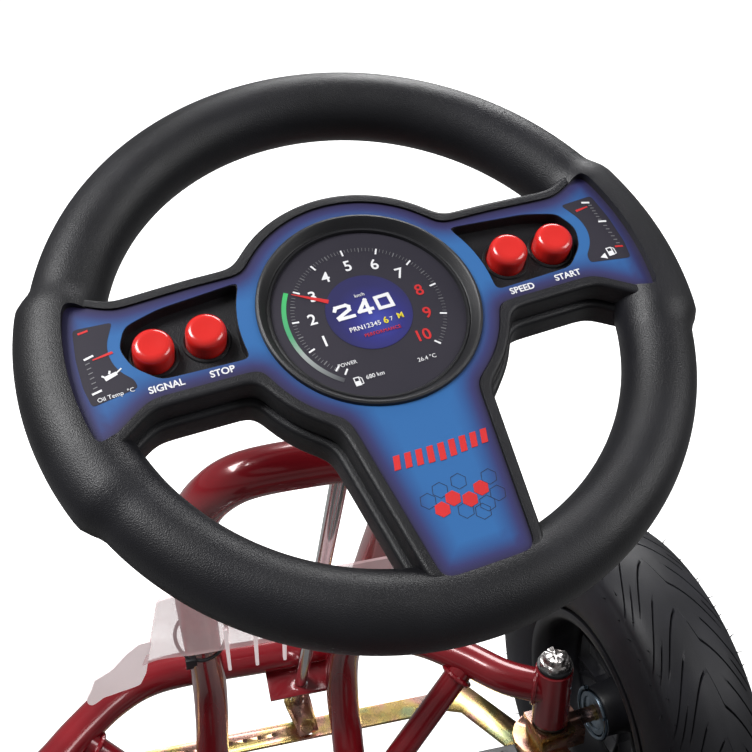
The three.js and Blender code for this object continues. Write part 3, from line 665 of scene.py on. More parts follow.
bpy.ops.object.select_all(action="DESELECT")
bpy.ops.mesh.primitive_torus_add(major_radius=RIM_R, minor_radius=RIM_TUBE, major_segments=RIM_SEGMENTS,
                                 minor_segments=TUBE_SEGMENTS)
grip = bpy.context.object
seam_angle = 2 * math.pi * SEAM_SIDE / TUBE_SEGMENTS
seam_r = RIM_R + RIM_TUBE * math.cos(seam_angle)
seam_z = RIM_TUBE * math.sin(seam_angle)
activate(grip)
bpy.ops.object.mode_set(mode="EDIT")
bpy.ops.mesh.select_mode(type="EDGE")
bpy.ops.mesh.select_all(action="DESELECT")
done()
corners = grip.data.vertices


def on_seam(vertex):
    return abs(vertex.co.z - seam_z) < 0.05 and abs(vertex.co.xy.length - seam_r) < 0.05


for edge in grip.data.edges:
    edge.select = on_seam(corners[edge.vertices[0]]) and on_seam(corners[edge.vertices[1]])
bpy.ops.object.mode_set(mode="EDIT")
bpy.ops.mesh.bevel(offset=0.35, segments=1, affect="EDGES")
bpy.ops.mesh.extrude_region_shrink_fatten(TRANSFORM_OT_shrink_fatten={"value": -0.8})
done()


def swell(angle):
    """1 on a palm swell, 0 off it, with a short smooth shoulder."""
    rise = 0.0
    for first, last in SWELLS:
        inside = min((angle - first) % 360, 180) if (angle - first) % 360 < 180 else 0.0
        before = (last - angle) % 360
        before = before if before < 180 else 0.0
        level = min(1.0, max(0.0, min(inside, before) / SHOULDER))
        rise = max(rise, level * level * (3 - 2 * level))
    return rise


for vertex in grip.data.vertices:
    flat = vertex.co.xy.length
    amount = swell(math.degrees(math.atan2(vertex.co.y, vertex.co.x)))
    if amount:
        outer = max(0.0, (flat - RIM_R) / RIM_TUBE)
        upper = max(0.0, vertex.co.z / RIM_TUBE)
        scale = (flat + SWELL_OUT * amount * outer) / flat
        vertex.co.x *= scale
        vertex.co.y *= scale
        vertex.co.z += SWELL_UP * amount * upper
print("grip", len(grip.data.polygons), "faces")

# %% [markdown]
# Hub and spokes are one moulding shaped like a T: two wide side spokes with flared ends, a lower
# spoke, and a round middle that carries the dial. One function draws the outline, and a larger value
# of grow gives the black frame round the printed foil. Averaging neighbouring points rounds all
# corners alike.

# %% Outline of hub and spokes
HUB_AT = (0, 2)
HUB_RING = 55.0
FLARE_R = 126.2


def spokes_outline(grow, passes=10):
    ring = HUB_RING + grow
    low_x, low_y = 28 + grow, -13 - grow
    top_y = 33 + grow
    low_turn = math.degrees(math.acos(low_x / ring))
    side_turn = math.degrees(math.asin((low_y - HUB_AT[1]) / ring))
    top_turn = math.degrees(math.asin((top_y - HUB_AT[1]) / ring))
    half = [(0, -120), (19 + grow, -120)]
    half += arc(HUB_AT, ring, -low_turn, side_turn, 10)
    half += [(99, low_y + 0.5), (FLARE_R * math.cos(math.radians(13 + grow * 0.4)),
                                 -FLARE_R * math.sin(math.radians(13 + grow * 0.4)))]
    half += arc((0, 0), FLARE_R, -11 - grow * 0.4, 17 + grow * 0.4, 12)
    half += [(FLARE_R * math.cos(math.radians(18.8 + grow * 0.4)),
              FLARE_R * math.sin(math.radians(18.8 + grow * 0.4))), (101.7, 31.5 + grow), (69, top_y)]
    half += arc(HUB_AT, ring, top_turn, 90, 10)
    return soften(half + mirrored(half[1:-1]), 1.6, passes)


# %% [markdown]
# Each side spoke has a sunk pocket for two buttons: round at the outer end, and following the dial
# ring at the inner end.

# %% Button pockets
POCKET_FLOOR = 7.0


def pocket_outline(grow=0.0):
    ring = HUB_RING + 1.0 - grow
    top = math.degrees(math.asin((30 + grow - HUB_AT[1]) / ring))
    low = math.degrees(math.asin((-6.4 - grow - HUB_AT[1]) / ring))
    shape = [(92 + grow * 0.5, -5 - grow), (101 + grow, 4 - grow * 0.5), (103.8 + grow, 13.4),
             (99 + grow * 0.7, 23 + grow * 0.5), (84, 27 + grow)]
    shape += arc(HUB_AT, ring, top, low, 12)
    return soften(shape, 1.4, 6)


print("spokes outline", len(spokes_outline(0)), "points; pocket", len(pocket_outline()), "points")

# %% [markdown]
# The moulding has an upper frame, rounded over like a pillow's edge, and a wider lower half that
# shows as a step under it. Boolean modifiers sink the dial well, the two pockets and the shallow bed
# of the foil.

# %% Upper frame of the spokes
FRAME_TOP = 14.6
FOIL_BED = 13.2
WELL_R = 48.0
WELL_FLOOR = 7.0
frame_top = slab("frame_top", spokes_outline(5), 2.0, FRAME_TOP)
bevel(frame_top, 2.4, 4)
well = rod("well", (*HUB_AT, WELL_FLOOR), (*HUB_AT, 40), WELL_R, 120)
pockets = [slab("pocket", shape, POCKET_FLOOR, 40)
           for shape in (pocket_outline(), mirrored(pocket_outline()))]
bed = slab("bed", spokes_outline(0.4), FOIL_BED, 40)
cut(frame_top, well, *pockets, bed)
settle(frame_top, "spokes_frame", "steering", GRAINED_BLACK, ON_WHEEL,
       ("wheel_upper_shell",))
print("spokes frame", len(frame_top.data.polygons), "faces")

# %% Lower half of the spokes and the hub behind the dial
LOWER_LOW = -12.0
lower = slab("lower", spokes_outline(7.5), LOWER_LOW, 1.6)
bevel(lower, 2.2, 3)
settle(lower, "spokes_back", "steering", GRAINED_BLACK, ON_WHEEL, ("wheel_lower_shell",))
hub = lathe("hub", [(0, -40), (19, -40), (22, -38.5), (30, -31), (45, -20), (55, -10), (60, -2), (61, 0),
                    (0, 0)])
settle(hub, "hub_cover", "steering", GRAINED_BLACK, ON_WHEEL)
seat = slab("seat", spokes_outline(0.0), FOIL_BED, 60)
cut(grip, seat)
settle(grip, "wheel_grip", "steering", GRAINED_BLACK, ON_WHEEL, angle=50)

# %% [markdown]
# The printed foil lies in its bed. Its flat face has corners only along its edge, so planes cut it
# into a fine grid first. Then the distance to the edge can be stored per vertex, and the material can
# fade from violet to bright blue.

# %% Printed foil
FOIL_TOP = 13.55
FADE = 12.0                      # mm over which the print goes from the dark edge to bright blue
GRID = 4.0
foil_outline = spokes_outline(0)
print_sheet = slab("foil", foil_outline, FOIL_BED, FOIL_TOP)
holes = [rod("hole", (*HUB_AT, 0), (*HUB_AT, 40), WELL_R, 120)]
holes += [slab("hole", shape, 0, 40) for shape in (pocket_outline(0.3), mirrored(pocket_outline(0.3)))]
cut(print_sheet, *holes)
activate(print_sheet)
bpy.ops.object.mode_set(mode="EDIT")
for index in range(-31, 32):
    for normal in ((1, 0, 0), (0, 1, 0)):
        bpy.ops.mesh.select_all(action="SELECT")
        bpy.ops.mesh.bisect(plane_co=(index * GRID, index * GRID, 0), plane_no=normal)
done()
coarse = foil_outline[::3]
mark(print_sheet, "inset", lambda at: min(1.0, edge_distance(at.xy, coarse) / FADE))
settle(print_sheet, "printed_foil", "steering", BLUE_FOIL, ON_WHEEL)
print("foil", len(print_sheet.data.polygons), "faces")

# %% [markdown]
# The dial well is lined by a black ring whose wall slopes in to the face; a small lip holds the face
# down. Both are turned from a profile.

# %% Dial ring and face
FACE_TOP = 9.6
bezel = lathe("bezel", [(47.9, 7), (47.9, 14.0), (47.5, 14.9), (46.6, 15.2), (45.8, 14.7), (43.8, 11.4),
                        (43.2, 10.9), (42.6, 11.3), (41.9, 11.2), (41.5, 10.4), (41.4, 7)], 144)
dial_place = ON_WHEEL @ Matrix.Translation((*HUB_AT, 0))
settle(bezel, "dial_ring", "steering", FINE_BLACK, dial_place, ("dial_bezel",), 40)
face = lathe("face", [(0, 7), (42, 7), (42, FACE_TOP), (0, FACE_TOP)], 96)
settle(face, "dial_plate", "steering", DIAL_CHARCOAL, dial_place, ("dial_face",))


# %% [markdown]
# ### What is printed on the dial
# The numbers, ticks and bars are thin raised prints. Ticks are short bars laid out by angle; numbers
# are text turned into meshes. Each colour is joined into one piece.

# %% Helpers for prints
def bar(start, end, width, width_end=None):
    """The outline of a straight stroke."""
    start, end = Vector(start), Vector(end)
    side = (end - start).normalized()
    side = Vector((-side.y, side.x)) * 0.5
    wide, narrow = side * width, side * (width if width_end is None else width_end)
    return [tuple(p) for p in (start - wide, end - narrow, end + narrow, start + wide)]


def polar(radius, angle):
    return (radius * math.cos(math.radians(angle)), radius * math.sin(math.radians(angle)))


def words(body, at, size, z, turn=0.0, bold=0.0, stretch=1.0, spacing=1.0):
    """Text as a thin solid mesh, centred on a point."""
    font = bpy.data.curves.new("figure", "FONT")
    font.body = body
    font.size = size
    font.align_x = "CENTER"
    font.align_y = "CENTER"
    font.offset = bold
    font.space_character = spacing
    font.extrude = 0.08
    font.resolution_u = 4
    node = bpy.data.objects.new("figure", font)
    bpy.context.collection.objects.link(node)
    activate(node)
    bpy.ops.object.convert(target="MESH")
    node = bpy.context.object
    node.data.transform(Matrix.Translation((at[0], at[1], z)) @ Matrix.Rotation(math.radians(turn), 4, "Z")
                        @ Matrix.Diagonal((stretch, 1, 1, 1)))
    return node


# %% Dial ticks and numbers
PRINT_LOW = FACE_TOP + 0.02
PRINT_TOP = FACE_TOP + 0.16
NUMBER_R = 24.5
NUMBER_TURNS = [-160 - 27.4 * i for i in range(10)]
TICK_OUT = 33.2
long_ticks = [bar(polar(30.2, a), polar(TICK_OUT, a), 0.75) for a in NUMBER_TURNS + [-129, -136]]
fine_ticks = []
for first in NUMBER_TURNS[:-1] + [-132]:
    for i in range(1, 10):
        middle = i == 5
        fine_ticks.append(bar(polar(31.0 if middle else 31.5, first - 2.74 * i),
                              polar(TICK_OUT, first - 2.74 * i), 0.45 if middle else 0.22))
white = [slab("ticks", long_ticks, PRINT_LOW, PRINT_TOP)]
white += [words(str(i + 1), polar(NUMBER_R, NUMBER_TURNS[i]), 7.4, PRINT_TOP - 0.08, bold=0.09)
          for i in range(7)]
red = [words(str(i + 1), polar(NUMBER_R + 0.4, NUMBER_TURNS[i]), 7.6, PRINT_TOP - 0.08, bold=0.10)
       for i in range(7, 10)]
grey = slab("fine_ticks", fine_ticks, PRINT_LOW, PRINT_TOP)
needle = slab("needle", [bar(polar(17.6, 146.5), polar(27, 147.2), 2.0, 1.1),
                         bar(polar(27, 147.2), polar(33.6, 147.6), 1.1, 0.35)], PRINT_TOP, PRINT_TOP + 0.12)
red.append(needle)

# %% [markdown]
# The middle of the dial is a small screen: deep blue, brighter below, with a speed in wide square
# figures.

# %% Screen in the dial
SCREEN_R = 18.6
screen = lathe("screen", [(0, 7), (SCREEN_R, 7), (SCREEN_R, PRINT_TOP), (14, PRINT_TOP), (9, PRINT_TOP),
                          (4, PRINT_TOP), (0, PRINT_TOP)], 72)
mark(screen, "inset", lambda at: max(0.0, 1 - (at.xy - Vector((2, -5))).length / SCREEN_R))
settle(screen, "dial_screen", "steering", SCREEN_BLUE, dial_place)
FIGURE_LOW = PRINT_TOP + 0.02
FIGURE_TOP = PRINT_TOP + 0.2
FIGURE_STROKE = 1.55
FIGURES = [
    [(-14.0, 4.4), (-13.2, 5.7), (-8.6, 5.8), (-7.5, 4.9), (-7.8, 3.3), (-13.6, 0.5), (-13.4, -0.2),
     (-6.8, -0.2)],
    [(1.9, 0.9), (-4.0, 0.9), (0.2, 5.9), (0.2, -0.7)],
    [(5.0, 0.0), (4.8, 5.6), (10.6, 5.8), (11.0, 0.0), (5.0, 0.0), (4.8, 5.6)]]
figure_bars = []
for figure in FIGURES:
    for start, end in zip(figure, figure[1:]):
        reach = (Vector(end) - Vector(start)).normalized() * FIGURE_STROKE * 0.45
        figure_bars.append(bar(Vector(start) - reach, Vector(end) + reach, FIGURE_STROKE))
for lift, shape in enumerate(figure_bars):
    white.append(slab("figure", shape, FIGURE_LOW, FIGURE_TOP + lift * 0.004))
white.append(words("PRN12345", (-4.4, -6.7), 3.1, FIGURE_TOP, spacing=1.05, bold=0.02))
white.append(words("7", (7.6, -6.4), 2.8, FIGURE_TOP))
yellow = [words("6", (5.0, -6.4), 4.4, FIGURE_TOP, bold=0.10),
          words("M", (11.8, -6.0), 3.8, FIGURE_TOP, bold=0.08)]
red.append(words("PERFORMANCE", (1.8, -11.0), 2.2, FIGURE_TOP, spacing=1.1))
white.append(words("km/h", (-1.0, 8.9), 2.3, FIGURE_TOP))

# %% [markdown]
# Below the screen are the fuel sign with its range and the outside temperature. A pump is a box with
# a window and a hose, so three small outlines make it.

# %% Small signs on the dial
def pump(at, size):
    """A fuel pump sign, drawn from plain strokes."""
    x, y = at
    s = size
    return [[(x - 0.5 * s, y - 0.6 * s), (x + 0.25 * s, y - 0.6 * s), (x + 0.25 * s, y + 0.05 * s),
             (x - 0.5 * s, y + 0.05 * s)],
            bar((x - 0.44 * s, y), (x - 0.44 * s, y + 0.55 * s), 0.12 * s),
            bar((x + 0.19 * s, y), (x + 0.19 * s, y + 0.55 * s), 0.12 * s),
            bar((x - 0.5 * s, y + 0.55 * s), (x + 0.25 * s, y + 0.55 * s), 0.14 * s),
            bar((x + 0.3 * s, y - 0.45 * s), (x + 0.55 * s, y - 0.45 * s), 0.1 * s),
            bar((x + 0.52 * s, y - 0.45 * s), (x + 0.52 * s, y + 0.3 * s), 0.1 * s),
            bar((x + 0.55 * s, y + 0.26 * s), (x + 0.3 * s, y + 0.5 * s), 0.1 * s)]


white.append(slab("pump", pump((-16.8, -30.4), 3.4), PRINT_LOW, PRINT_TOP))
white.append(words("680 km", (-9.2, -29.8), 2.7, PRINT_TOP))
white.append(words("26.4 °C", (14.4, -28.8), 2.7, PRINT_TOP))
white.append(words("POWER", (-18.2, -21.4), 2.4, PRINT_TOP))
settle(join("white", white), "dial_white_print", "steering", PRINT_WHITE, dial_place)
settle(join("red", red), "dial_red_print", "steering", PRINT_RED, dial_place)
settle(join("yellow", yellow), "dial_yellow_print", "steering", PRINT_YELLOW, dial_place)
settle(grey, "dial_fine_ticks", "steering", PRINT_GREY, dial_place)

# %% [markdown]
# A coloured bar runs along the left edge of the dial, green at the needle and fading to grey and then
# white further round. A grid of small steps carries the fade as an attribute.

# %% Coloured bar on the dial
BAR_FROM, BAR_TO = 147.5, 232
BAR_STEPS = 40
steps = [(i / BAR_STEPS, BAR_FROM + (BAR_TO - BAR_FROM) * i / BAR_STEPS) for i in range(BAR_STEPS + 1)]
sweep_points = [(*polar(34.9, turn), PRINT_TOP) for _, turn in steps]
sweep_points += [(*polar(36.9, turn), PRINT_TOP) for _, turn in steps]
sweep_faces = [(i, i + 1, i + BAR_STEPS + 2, i + BAR_STEPS + 1) for i in range(BAR_STEPS)]
sweep = node_of("sweep", sweep_points, [], sweep_faces)
activate(sweep)
bpy.ops.object.mode_set(mode="EDIT")
bpy.ops.mesh.select_all(action="SELECT")
bpy.ops.mesh.extrude_region_move(TRANSFORM_OT_translate={"value": (0, 0, -0.12)})
done()
weld(sweep)
mark(sweep, "inset",
     lambda at: ((math.degrees(math.atan2(at.y, at.x)) % 360) - BAR_FROM) / (BAR_TO - BAR_FROM))
SWEEP_FINISH = foil("dial_sweep", "inset", [(0.0, (0.045, 0.42, 0.12)), (0.42, (0.06, 0.30, 0.14)),
                                            (0.62, (0.30, 0.33, 0.32)), (1.0, (0.05, 0.05, 0.06))], 0.4)
settle(sweep, "dial_sweep_bar", "steering", SWEEP_FINISH, dial_place)
print("dial printed")

# %% [markdown]
# ### Gauges at the spoke ends
# At each end of the foil sits a dark printed scale: the left one reads oil temperature, the right one
# fuel. Its inner edge curves round the button pocket.

# %% Gauge fields
FIELD_LOW = FOIL_TOP + 0.01
FIELD_TOP = FOIL_TOP + 0.10
MARK_TOP = FOIL_TOP + 0.22


def gauge_field(side):
    inner = arc((91, 12), 17.5, 52, -60, 12)
    outer = [(101.5, -6.0), (120.6, -9.0), (121.8, 0), (121.2, 14), (119.0, 27.6)]
    shape = [(103, 26.6)] + inner[3:-1] + outer
    return [(side * x, y) for x, y in (shape if side > 0 else reversed(shape))]


fields = slab("fields", [soften(gauge_field(side), 1.2, 2) for side in (1, -1)], FIELD_LOW, FIELD_TOP)
settle(fields, "gauge_fields", "steering", DIAL_CHARCOAL, ON_WHEEL)

# %% Gauge marks
marks_white, marks_red, marks_grey = [], [], []
marks_white += [bar((-118.2, 12.6), (-114.2, 13.6), 0.9), bar((-119.2, -3.6), (-115.2, -2.8), 0.9),
                bar((113.0, 25.2), (116.6, 24.2), 0.9), bar((115.6, 13.2), (119.2, 12.4), 0.9)]
marks_red += [bar((-117.4, 25.0), (-113.2, 25.6), 0.9), bar((-115.0, 11.6), (-106.6, 12.8), 0.6, 1.2),
              bar((108.4, 21.6), (114.6, 22.4), 1.2, 0.6), bar((116.4, -1.6), (120.0, -2.4), 0.9)]
for i in range(1, 7):
    marks_grey.append(bar((-118.2, 12.6 - 2.3 * i), (-116.4, 13.0 - 2.3 * i), 0.4))
    marks_grey.append(bar((115.4 + 0.1 * i, 24.6 - 1.7 * i), (116.9 + 0.1 * i, 24.2 - 1.7 * i), 0.4))
    marks_grey.append(bar((116.6 + 0.2 * i, 12.6 - 2.1 * i), (118.2 + 0.2 * i, 12.2 - 2.1 * i), 0.4))
marks_white += [bar((-112.8, 1.6), (-107.6, 3.0), 2.1, 1.5), bar((-107.6, 3.2), (-105.4, 4.6), 0.6),
                bar((-110.6, 3.4), (-110.0, 4.8), 0.8), bar((-113.6, 3.4), (-112.4, 2.2), 0.7)]
gauge_print = [slab("marks", marks_white, FIELD_TOP, MARK_TOP),
               slab("fuel", pump((113.4, -3.4), 3.6), FIELD_TOP, MARK_TOP),
               slab("arrow", [[(107.2, -5.0), (110.2, -6.6), (110.2, -3.4)]], FIELD_TOP, MARK_TOP)]
gauge_print.append(words("Oil Temp  °C", (-110.6, -6.6), 2.7, MARK_TOP - 0.08, turn=3))
for text, x, y in (("SIGNAL", -91, -8.9), ("STOP", -68.2, -9.3), ("SPEED", 66.2, -9.6),
                   ("START", 88.6, -9.2)):
    gauge_print.append(words(text, (x, y), 4.3, MARK_TOP - 0.06, bold=0.09))
settle(join("marks", gauge_print), "spoke_white_print", "steering", PRINT_WHITE, ON_WHEEL)
settle(slab("red_marks", marks_red, FIELD_TOP, MARK_TOP), "gauge_red_print", "steering",
       PRINT_RED, ON_WHEEL)
settle(slab("grey_marks", marks_grey, FIELD_TOP, MARK_TOP), "gauge_grey_print", "steering",
       PRINT_GREY, ON_WHEEL)

# %% [markdown]
# The lower spoke carries a honeycomb print: four filled cells in a row that steps up and down, with
# thin outlines round them. Above it, a plain row of slanted bars stands where a maker would put a
# name.

# %% Honeycomb print
CELL_R = 3.5


def cell(centre, radius):
    return arc(centre, radius, 14, 314, 5)


def cell_ring(centre, radius, width):
    outer, inner = arc(centre, radius, 14, 314, 5), arc(centre, radius - width, 14, 314, 5)
    return [[outer[i], outer[(i + 1) % 6], inner[(i + 1) % 6], inner[i]] for i in range(6)]


FULL_CELLS = [(-8.3, -93.4), (-2.6, -90.4), (3.6, -92.9), (9.6, -89.9)]
EMPTY_CELLS = [(-12.2, -88.4), (-6.0, -85.6), (0.2, -96.6), (6.4, -99.2), (9.4, -96.6), (15.0, -94.0),
               (14.6, -86.4), (2.4, -84.4)]
cells_red = slab("cells", [cell(at, CELL_R - 0.15) for at in FULL_CELLS], FOIL_TOP, MARK_TOP)
cells_thin = slab("cell_lines", [side for at in EMPTY_CELLS for side in cell_ring(at, CELL_R, 0.22)],
                  FOIL_TOP, FIELD_TOP)
STRIPE_COUNT = 9
stripes = []
for i in range(STRIPE_COUNT):
    x, y, tall = -19.5 + 4.7 * i, -70.4 + 0.25 * abs(i - 4), 7.4 - 0.35 * abs(i - 4)
    low, high = y - tall / 2, y + tall / 2
    stripes.append([(x, low), (x + 2.7, low), (x + 4.3, high), (x + 1.6, high)])
stripe_row = slab("stripes", stripes, FOIL_TOP, MARK_TOP)
settle(join("red_cells", [cells_red, stripe_row]), "spoke_red_print", "steering", PRINT_RED,
       ON_WHEEL)
settle(cells_thin, "honeycomb_lines", "steering", DIAL_CHARCOAL, ON_WHEEL)

# %% [markdown]
# ### Buttons
# Each button is turned from a profile: straight skirt, a soft shoulder and a faintly hollow top for
# the thumb.

# %% Buttons
button_profile = [(0, -2), (8.5, -2), (8.5, 13.2), (8.35, 14.5), (7.9, 15.6), (7.1, 16.4), (6.1, 16.85),
                  (5.0, 16.9), (3.0, 16.7), (0, 16.6)]
COLLAR_SECTION = [(8.8, 6.5), (10.4, 6.5), (10.4, 7.4), (10.0, 7.8), (9.2, 7.8), (8.8, 7.4)]
BUTTON_AT = {"outer": (91, 9.8), "inner": (68.8, 10.3)}
for side, sign in (("right", 1), ("left", -1)):
    for which, (x, y) in BUTTON_AT.items():
        cap = lathe("button", button_profile, 56)
        name = f"button_{side}_{which}"
        settle(cap, name + "_cap", name, BUTTON_RED,
               ON_WHEEL @ Matrix.Translation((sign * x, y, 0)), (name,), 40)
        settle(lathe("collar", COLLAR_SECTION, 48), name + "_collar", "steering",
               FINE_BLACK,
               ON_WHEEL @ Matrix.Translation((sign * x, y, 0)))
print("buttons done")

# %% [markdown]
# ## Column
# A bright drawn bar runs from the wheel down to the front beam. A short sleeve under the hoop
# steadies it, and a lever on its foot drives the tie bar.

# %% Steering shaft
SHAFT_R = 5.0
SHAFT_END = 575.0
shaft = lathe("shaft", [(0, -4), (SHAFT_R, -4), (SHAFT_R, -SHAFT_END + 1), (SHAFT_R - 1, -SHAFT_END),
                        (0, -SHAFT_END)], 40)
settle(shaft, "column_shaft", "steering", BRIGHT_ROD, ON_WHEEL, ("steering_shaft",), 40)
split_pin = rod("pin", (-14, 0, -52), (14, 0, -52), 1.7, 16, 0.4)
settle(split_pin, "shaft_cross_pin", "steering", STEEL, ON_WHEEL)


# %% [markdown]
# ## Small metal parts
# Knuckles, levers, nuts and brackets already have the right shape in the CAD model. A copy is welded,
# its flat faces are cleaned, and its sharp edges get the small round that every real edge has, which
# catches light.

# %% Softened copies of CAD nodes
FINISH_OF_SLOT = {"frame_red": RED_PAINT, "grained_black": GRAINED_BLACK, "gloss_black": SMOOTH_BLACK,
                  "button_red": BUTTON_RED, "bright_rod": BRIGHT_ROD, "yellow_zinc": YELLOW_ZINC,
                  "plain_steel": STEEL, "tyre_rubber": RUBBER, "bearing_steel": BEARING_STEEL,
                  "frosted_sheet": FROSTED, "black_nylon": NYLON}
BODY_OF = {part: body for body, parts in frame["record"]["behaviour"]["bodies"].items() for part in parts}


def slot_of(node):
    name = node.material_slots[0].material.name
    return next(key for key in FINISH_OF_SLOT if name.startswith(key))


def softened(part, width=0.6, segments=2, finish_with=None, angle=35):
    source = frame["nodes"][part]
    node = bpy.data.objects.new(part, source.data.copy())
    bpy.context.collection.objects.link(node)
    node.data.transform(KART.inverted())
    weld(node)
    bpy.ops.object.mode_set(mode="EDIT")
    bpy.ops.mesh.dissolve_limited(angle_limit=math.radians(1))
    done()
    bevel(node, width, segments, 40)
    slot = slot_of(source)
    return settle(node, part + "_piece", BODY_OF[part], finish_with or FINISH_OF_SLOT[slot],
                  stands_for=(part,), angle=angle)


SIDES = (("right", 1), ("left", -1))
for part in ("pitman_lever", "column_foot", "column_bush", "chainring", "rear_sprocket", "tie_bar",
             "seat_bracket", "chain_guard"):
    softened(part, 0.4)
for side, _ in SIDES:
    for part in ("knuckle", "stub_nut", "kingpin_bush", "hub_bearing", "axle_bracket", "axle_bearing"):
        softened(f"{part}_{side}", 0.5)
print("small parts softened")

# %% [markdown]
# ## Frame
# The frame is bent and welded tube with a thick glossy red powder coat. Each tube is a smooth path
# with a round section, and each joint gets a weld bead, because a joint with no bead looks like two
# ghosts crossing.

# %% Tube sizes and weld beads
TUBE_R = 12.7
BEAM_R = 13.3
BRACE_R = 10.0
BEAD_RIPPLES = 24


def painted(node, name, stands_for=(), place=KART, angle=35):
    """A red piece of the frame."""
    return settle(node, name, "chassis", RED_PAINT, place, stands_for, angle)


def weld_bead(name, centre, normal, radius, thick=2.0, along=(1, 1)):
    """A rippled ring of weld round a tube."""
    bpy.ops.object.select_all(action="DESELECT")
    bpy.ops.mesh.primitive_torus_add(major_radius=radius, minor_radius=thick, major_segments=72,
                                     minor_segments=8)
    node = bpy.context.object
    for vertex in node.data.vertices:
        turn = math.atan2(vertex.co.y, vertex.co.x)
        ripple = 1 + 0.012 * math.sin(turn * BEAD_RIPPLES)
        vertex.co.x *= ripple * along[0]
        vertex.co.y *= ripple * along[1]
    facing = Vector(normal).to_track_quat("Z", "Y").to_matrix().to_4x4()
    node.data.transform(Matrix.Translation(centre) @ facing)
    return painted(node, name)


def both_sides(half, middle=None):
    left = [(-x, y, z) for x, y, z in reversed(half)]
    return left + ([middle] if middle else []) + list(half)


# %% Steering hoop
HOOP_HALF = [(34, 223, 532), (52, 238, 508), (58, 265, 463), (58, 310, 387), (54, 366, 283), (51, 391, 222),
             (52, 398.5, 172), (54, 398, 140), (54, 386, 111), (54, 360, 96), (54, 300, 96)]
HOOP_TOP = (0, 221, 536)
SLEEVE_FROM, SLEEVE_TO = 94, 134   # down the column from the wheel's centre
SLEEVE_R = 9.0
SLEEVE_WELD = 112
wheel_at = Vector(pivot["pos_m"]) / MM
down_column = -Vector(pivot["axis"])
hoop = tube("hoop", both_sides(HOOP_HALF, HOOP_TOP), TUBE_R, 5.0, rings=7)
sleeve = rod("sleeve", wheel_at + down_column * SLEEVE_FROM, wheel_at + down_column * SLEEVE_TO, SLEEVE_R,
             40, 0.6)
painted(hoop, "hoop_tube", ("steering_hoop",), angle=50)
painted(sleeve, "column_sleeve")
weld_bead("sleeve_weld", wheel_at + down_column * SLEEVE_WELD, down_column, 10.2, 2.2)
print("hoop done")

# %% [markdown]
# The front beam is bent back at both ends to meet the two upright kingpin housings. A housing is a
# short thick tube; the weld runs round the beam where it meets it.

# %% Front beam and kingpin housings
BEAM_HALF = [(92, 425, 206), (122, 412, 204), (150, 388, 201), (176, 362, 198), (207, 345, 196)]
BEAM_MIDDLE = (0, 426, 206)
HOUSING_AT = (207, 345)
HOUSING_R = 14.5
HOUSING_SECTION = [(8, 163), (HOUSING_R - 0.8, 163), (HOUSING_R, 163.8), (HOUSING_R, 217.2),
                   (HOUSING_R - 0.8, 218), (8, 218)]


def at_kingpin(sign):
    return KART @ Matrix.Translation((sign * HOUSING_AT[0], HOUSING_AT[1], 0))


beam = tube("beam", both_sides(BEAM_HALF, BEAM_MIDDLE), BEAM_R, 5.0, rings=7)
painted(beam, "beam_tube", ("front_beam",), angle=50)
for side, sign in SIDES:
    housing = lathe("housing", HOUSING_SECTION, 64)
    painted(housing, f"kingpin_housing_{side}", place=at_kingpin(sign), angle=40)
    weld_bead(f"housing_weld_{side}", (sign * 195.0, 351.0, 196.4), (sign * 31, -17, -2), BEAM_R + 0.4)

# %% Braces from the beam to the foot of the hoop
for side, sign in SIDES:
    top, low = Vector((sign * 152, 386, 201)), Vector((sign * 54, 352, 96))
    lean = (top - low).normalized()
    brace = rod("brace", low, top - lean * 4, BRACE_R, 40)
    painted(brace, f"brace_{side}", (f"diagonal_brace_{side}",), angle=50)
    weld_bead(f"brace_top_weld_{side}", top - lean * 16.5, lean, BRACE_R + 0.6, along=(1.12, 1.0))
    weld_bead(f"brace_foot_weld_{side}", low + lean * 15.5, lean, BRACE_R + 0.6, along=(1.1, 1.0))

# %% Rails and cross tubes
RAIL_Z = 96
RAIL_HALF = [(54, 299.6), (54, 240), (54, 170), (54, 110), (60, 60), (84, 0), (108, -52), (118, -110),
             (118, -180), (118, -300), (118, -400)]
RAIL_END = RAIL_HALF[-1]
PLUG_SECTION = [(0, 0), (TUBE_R - 0.6, 0), (TUBE_R, 1.2), (TUBE_R - 0.4, 2.6), (8, 3.6), (0, 3.8)]
for side, sign in SIDES:
    rail = tube("rail", [(sign * x, y, RAIL_Z) for x, y in RAIL_HALF], TUBE_R, 6.0, rings=6)
    painted(rail, f"rail_{side}", (f"frame_rail_{side}",), angle=50)
    weld_bead(f"rail_weld_{side}", (sign * 54, 299.8, RAIL_Z), (0, 1, 0), TUBE_R + 0.2, 1.3)
    plug_place = KART @ Matrix.Translation((sign * RAIL_END[0], RAIL_END[1], RAIL_Z))
    settle(lathe("plug", PLUG_SECTION, 48), f"rail_plug_{side}", "chassis", NYLON,
           plug_place @ Matrix.Rotation(math.radians(90), 4, "X"))
for name, y in (("front", -150), ("rear", -385)):
    across = rod("across", (-112, y, RAIL_Z), (112, y, RAIL_Z), BRACE_R, 40)
    painted(across, f"cross_{name}", (f"cross_tube_{name}",), angle=50)
    for side, sign in SIDES:
        weld_bead(f"cross_weld_{name}_{side}", (sign * 106.3, y, RAIL_Z), (1, 0, 0), BRACE_R + 0.4, 1.8)

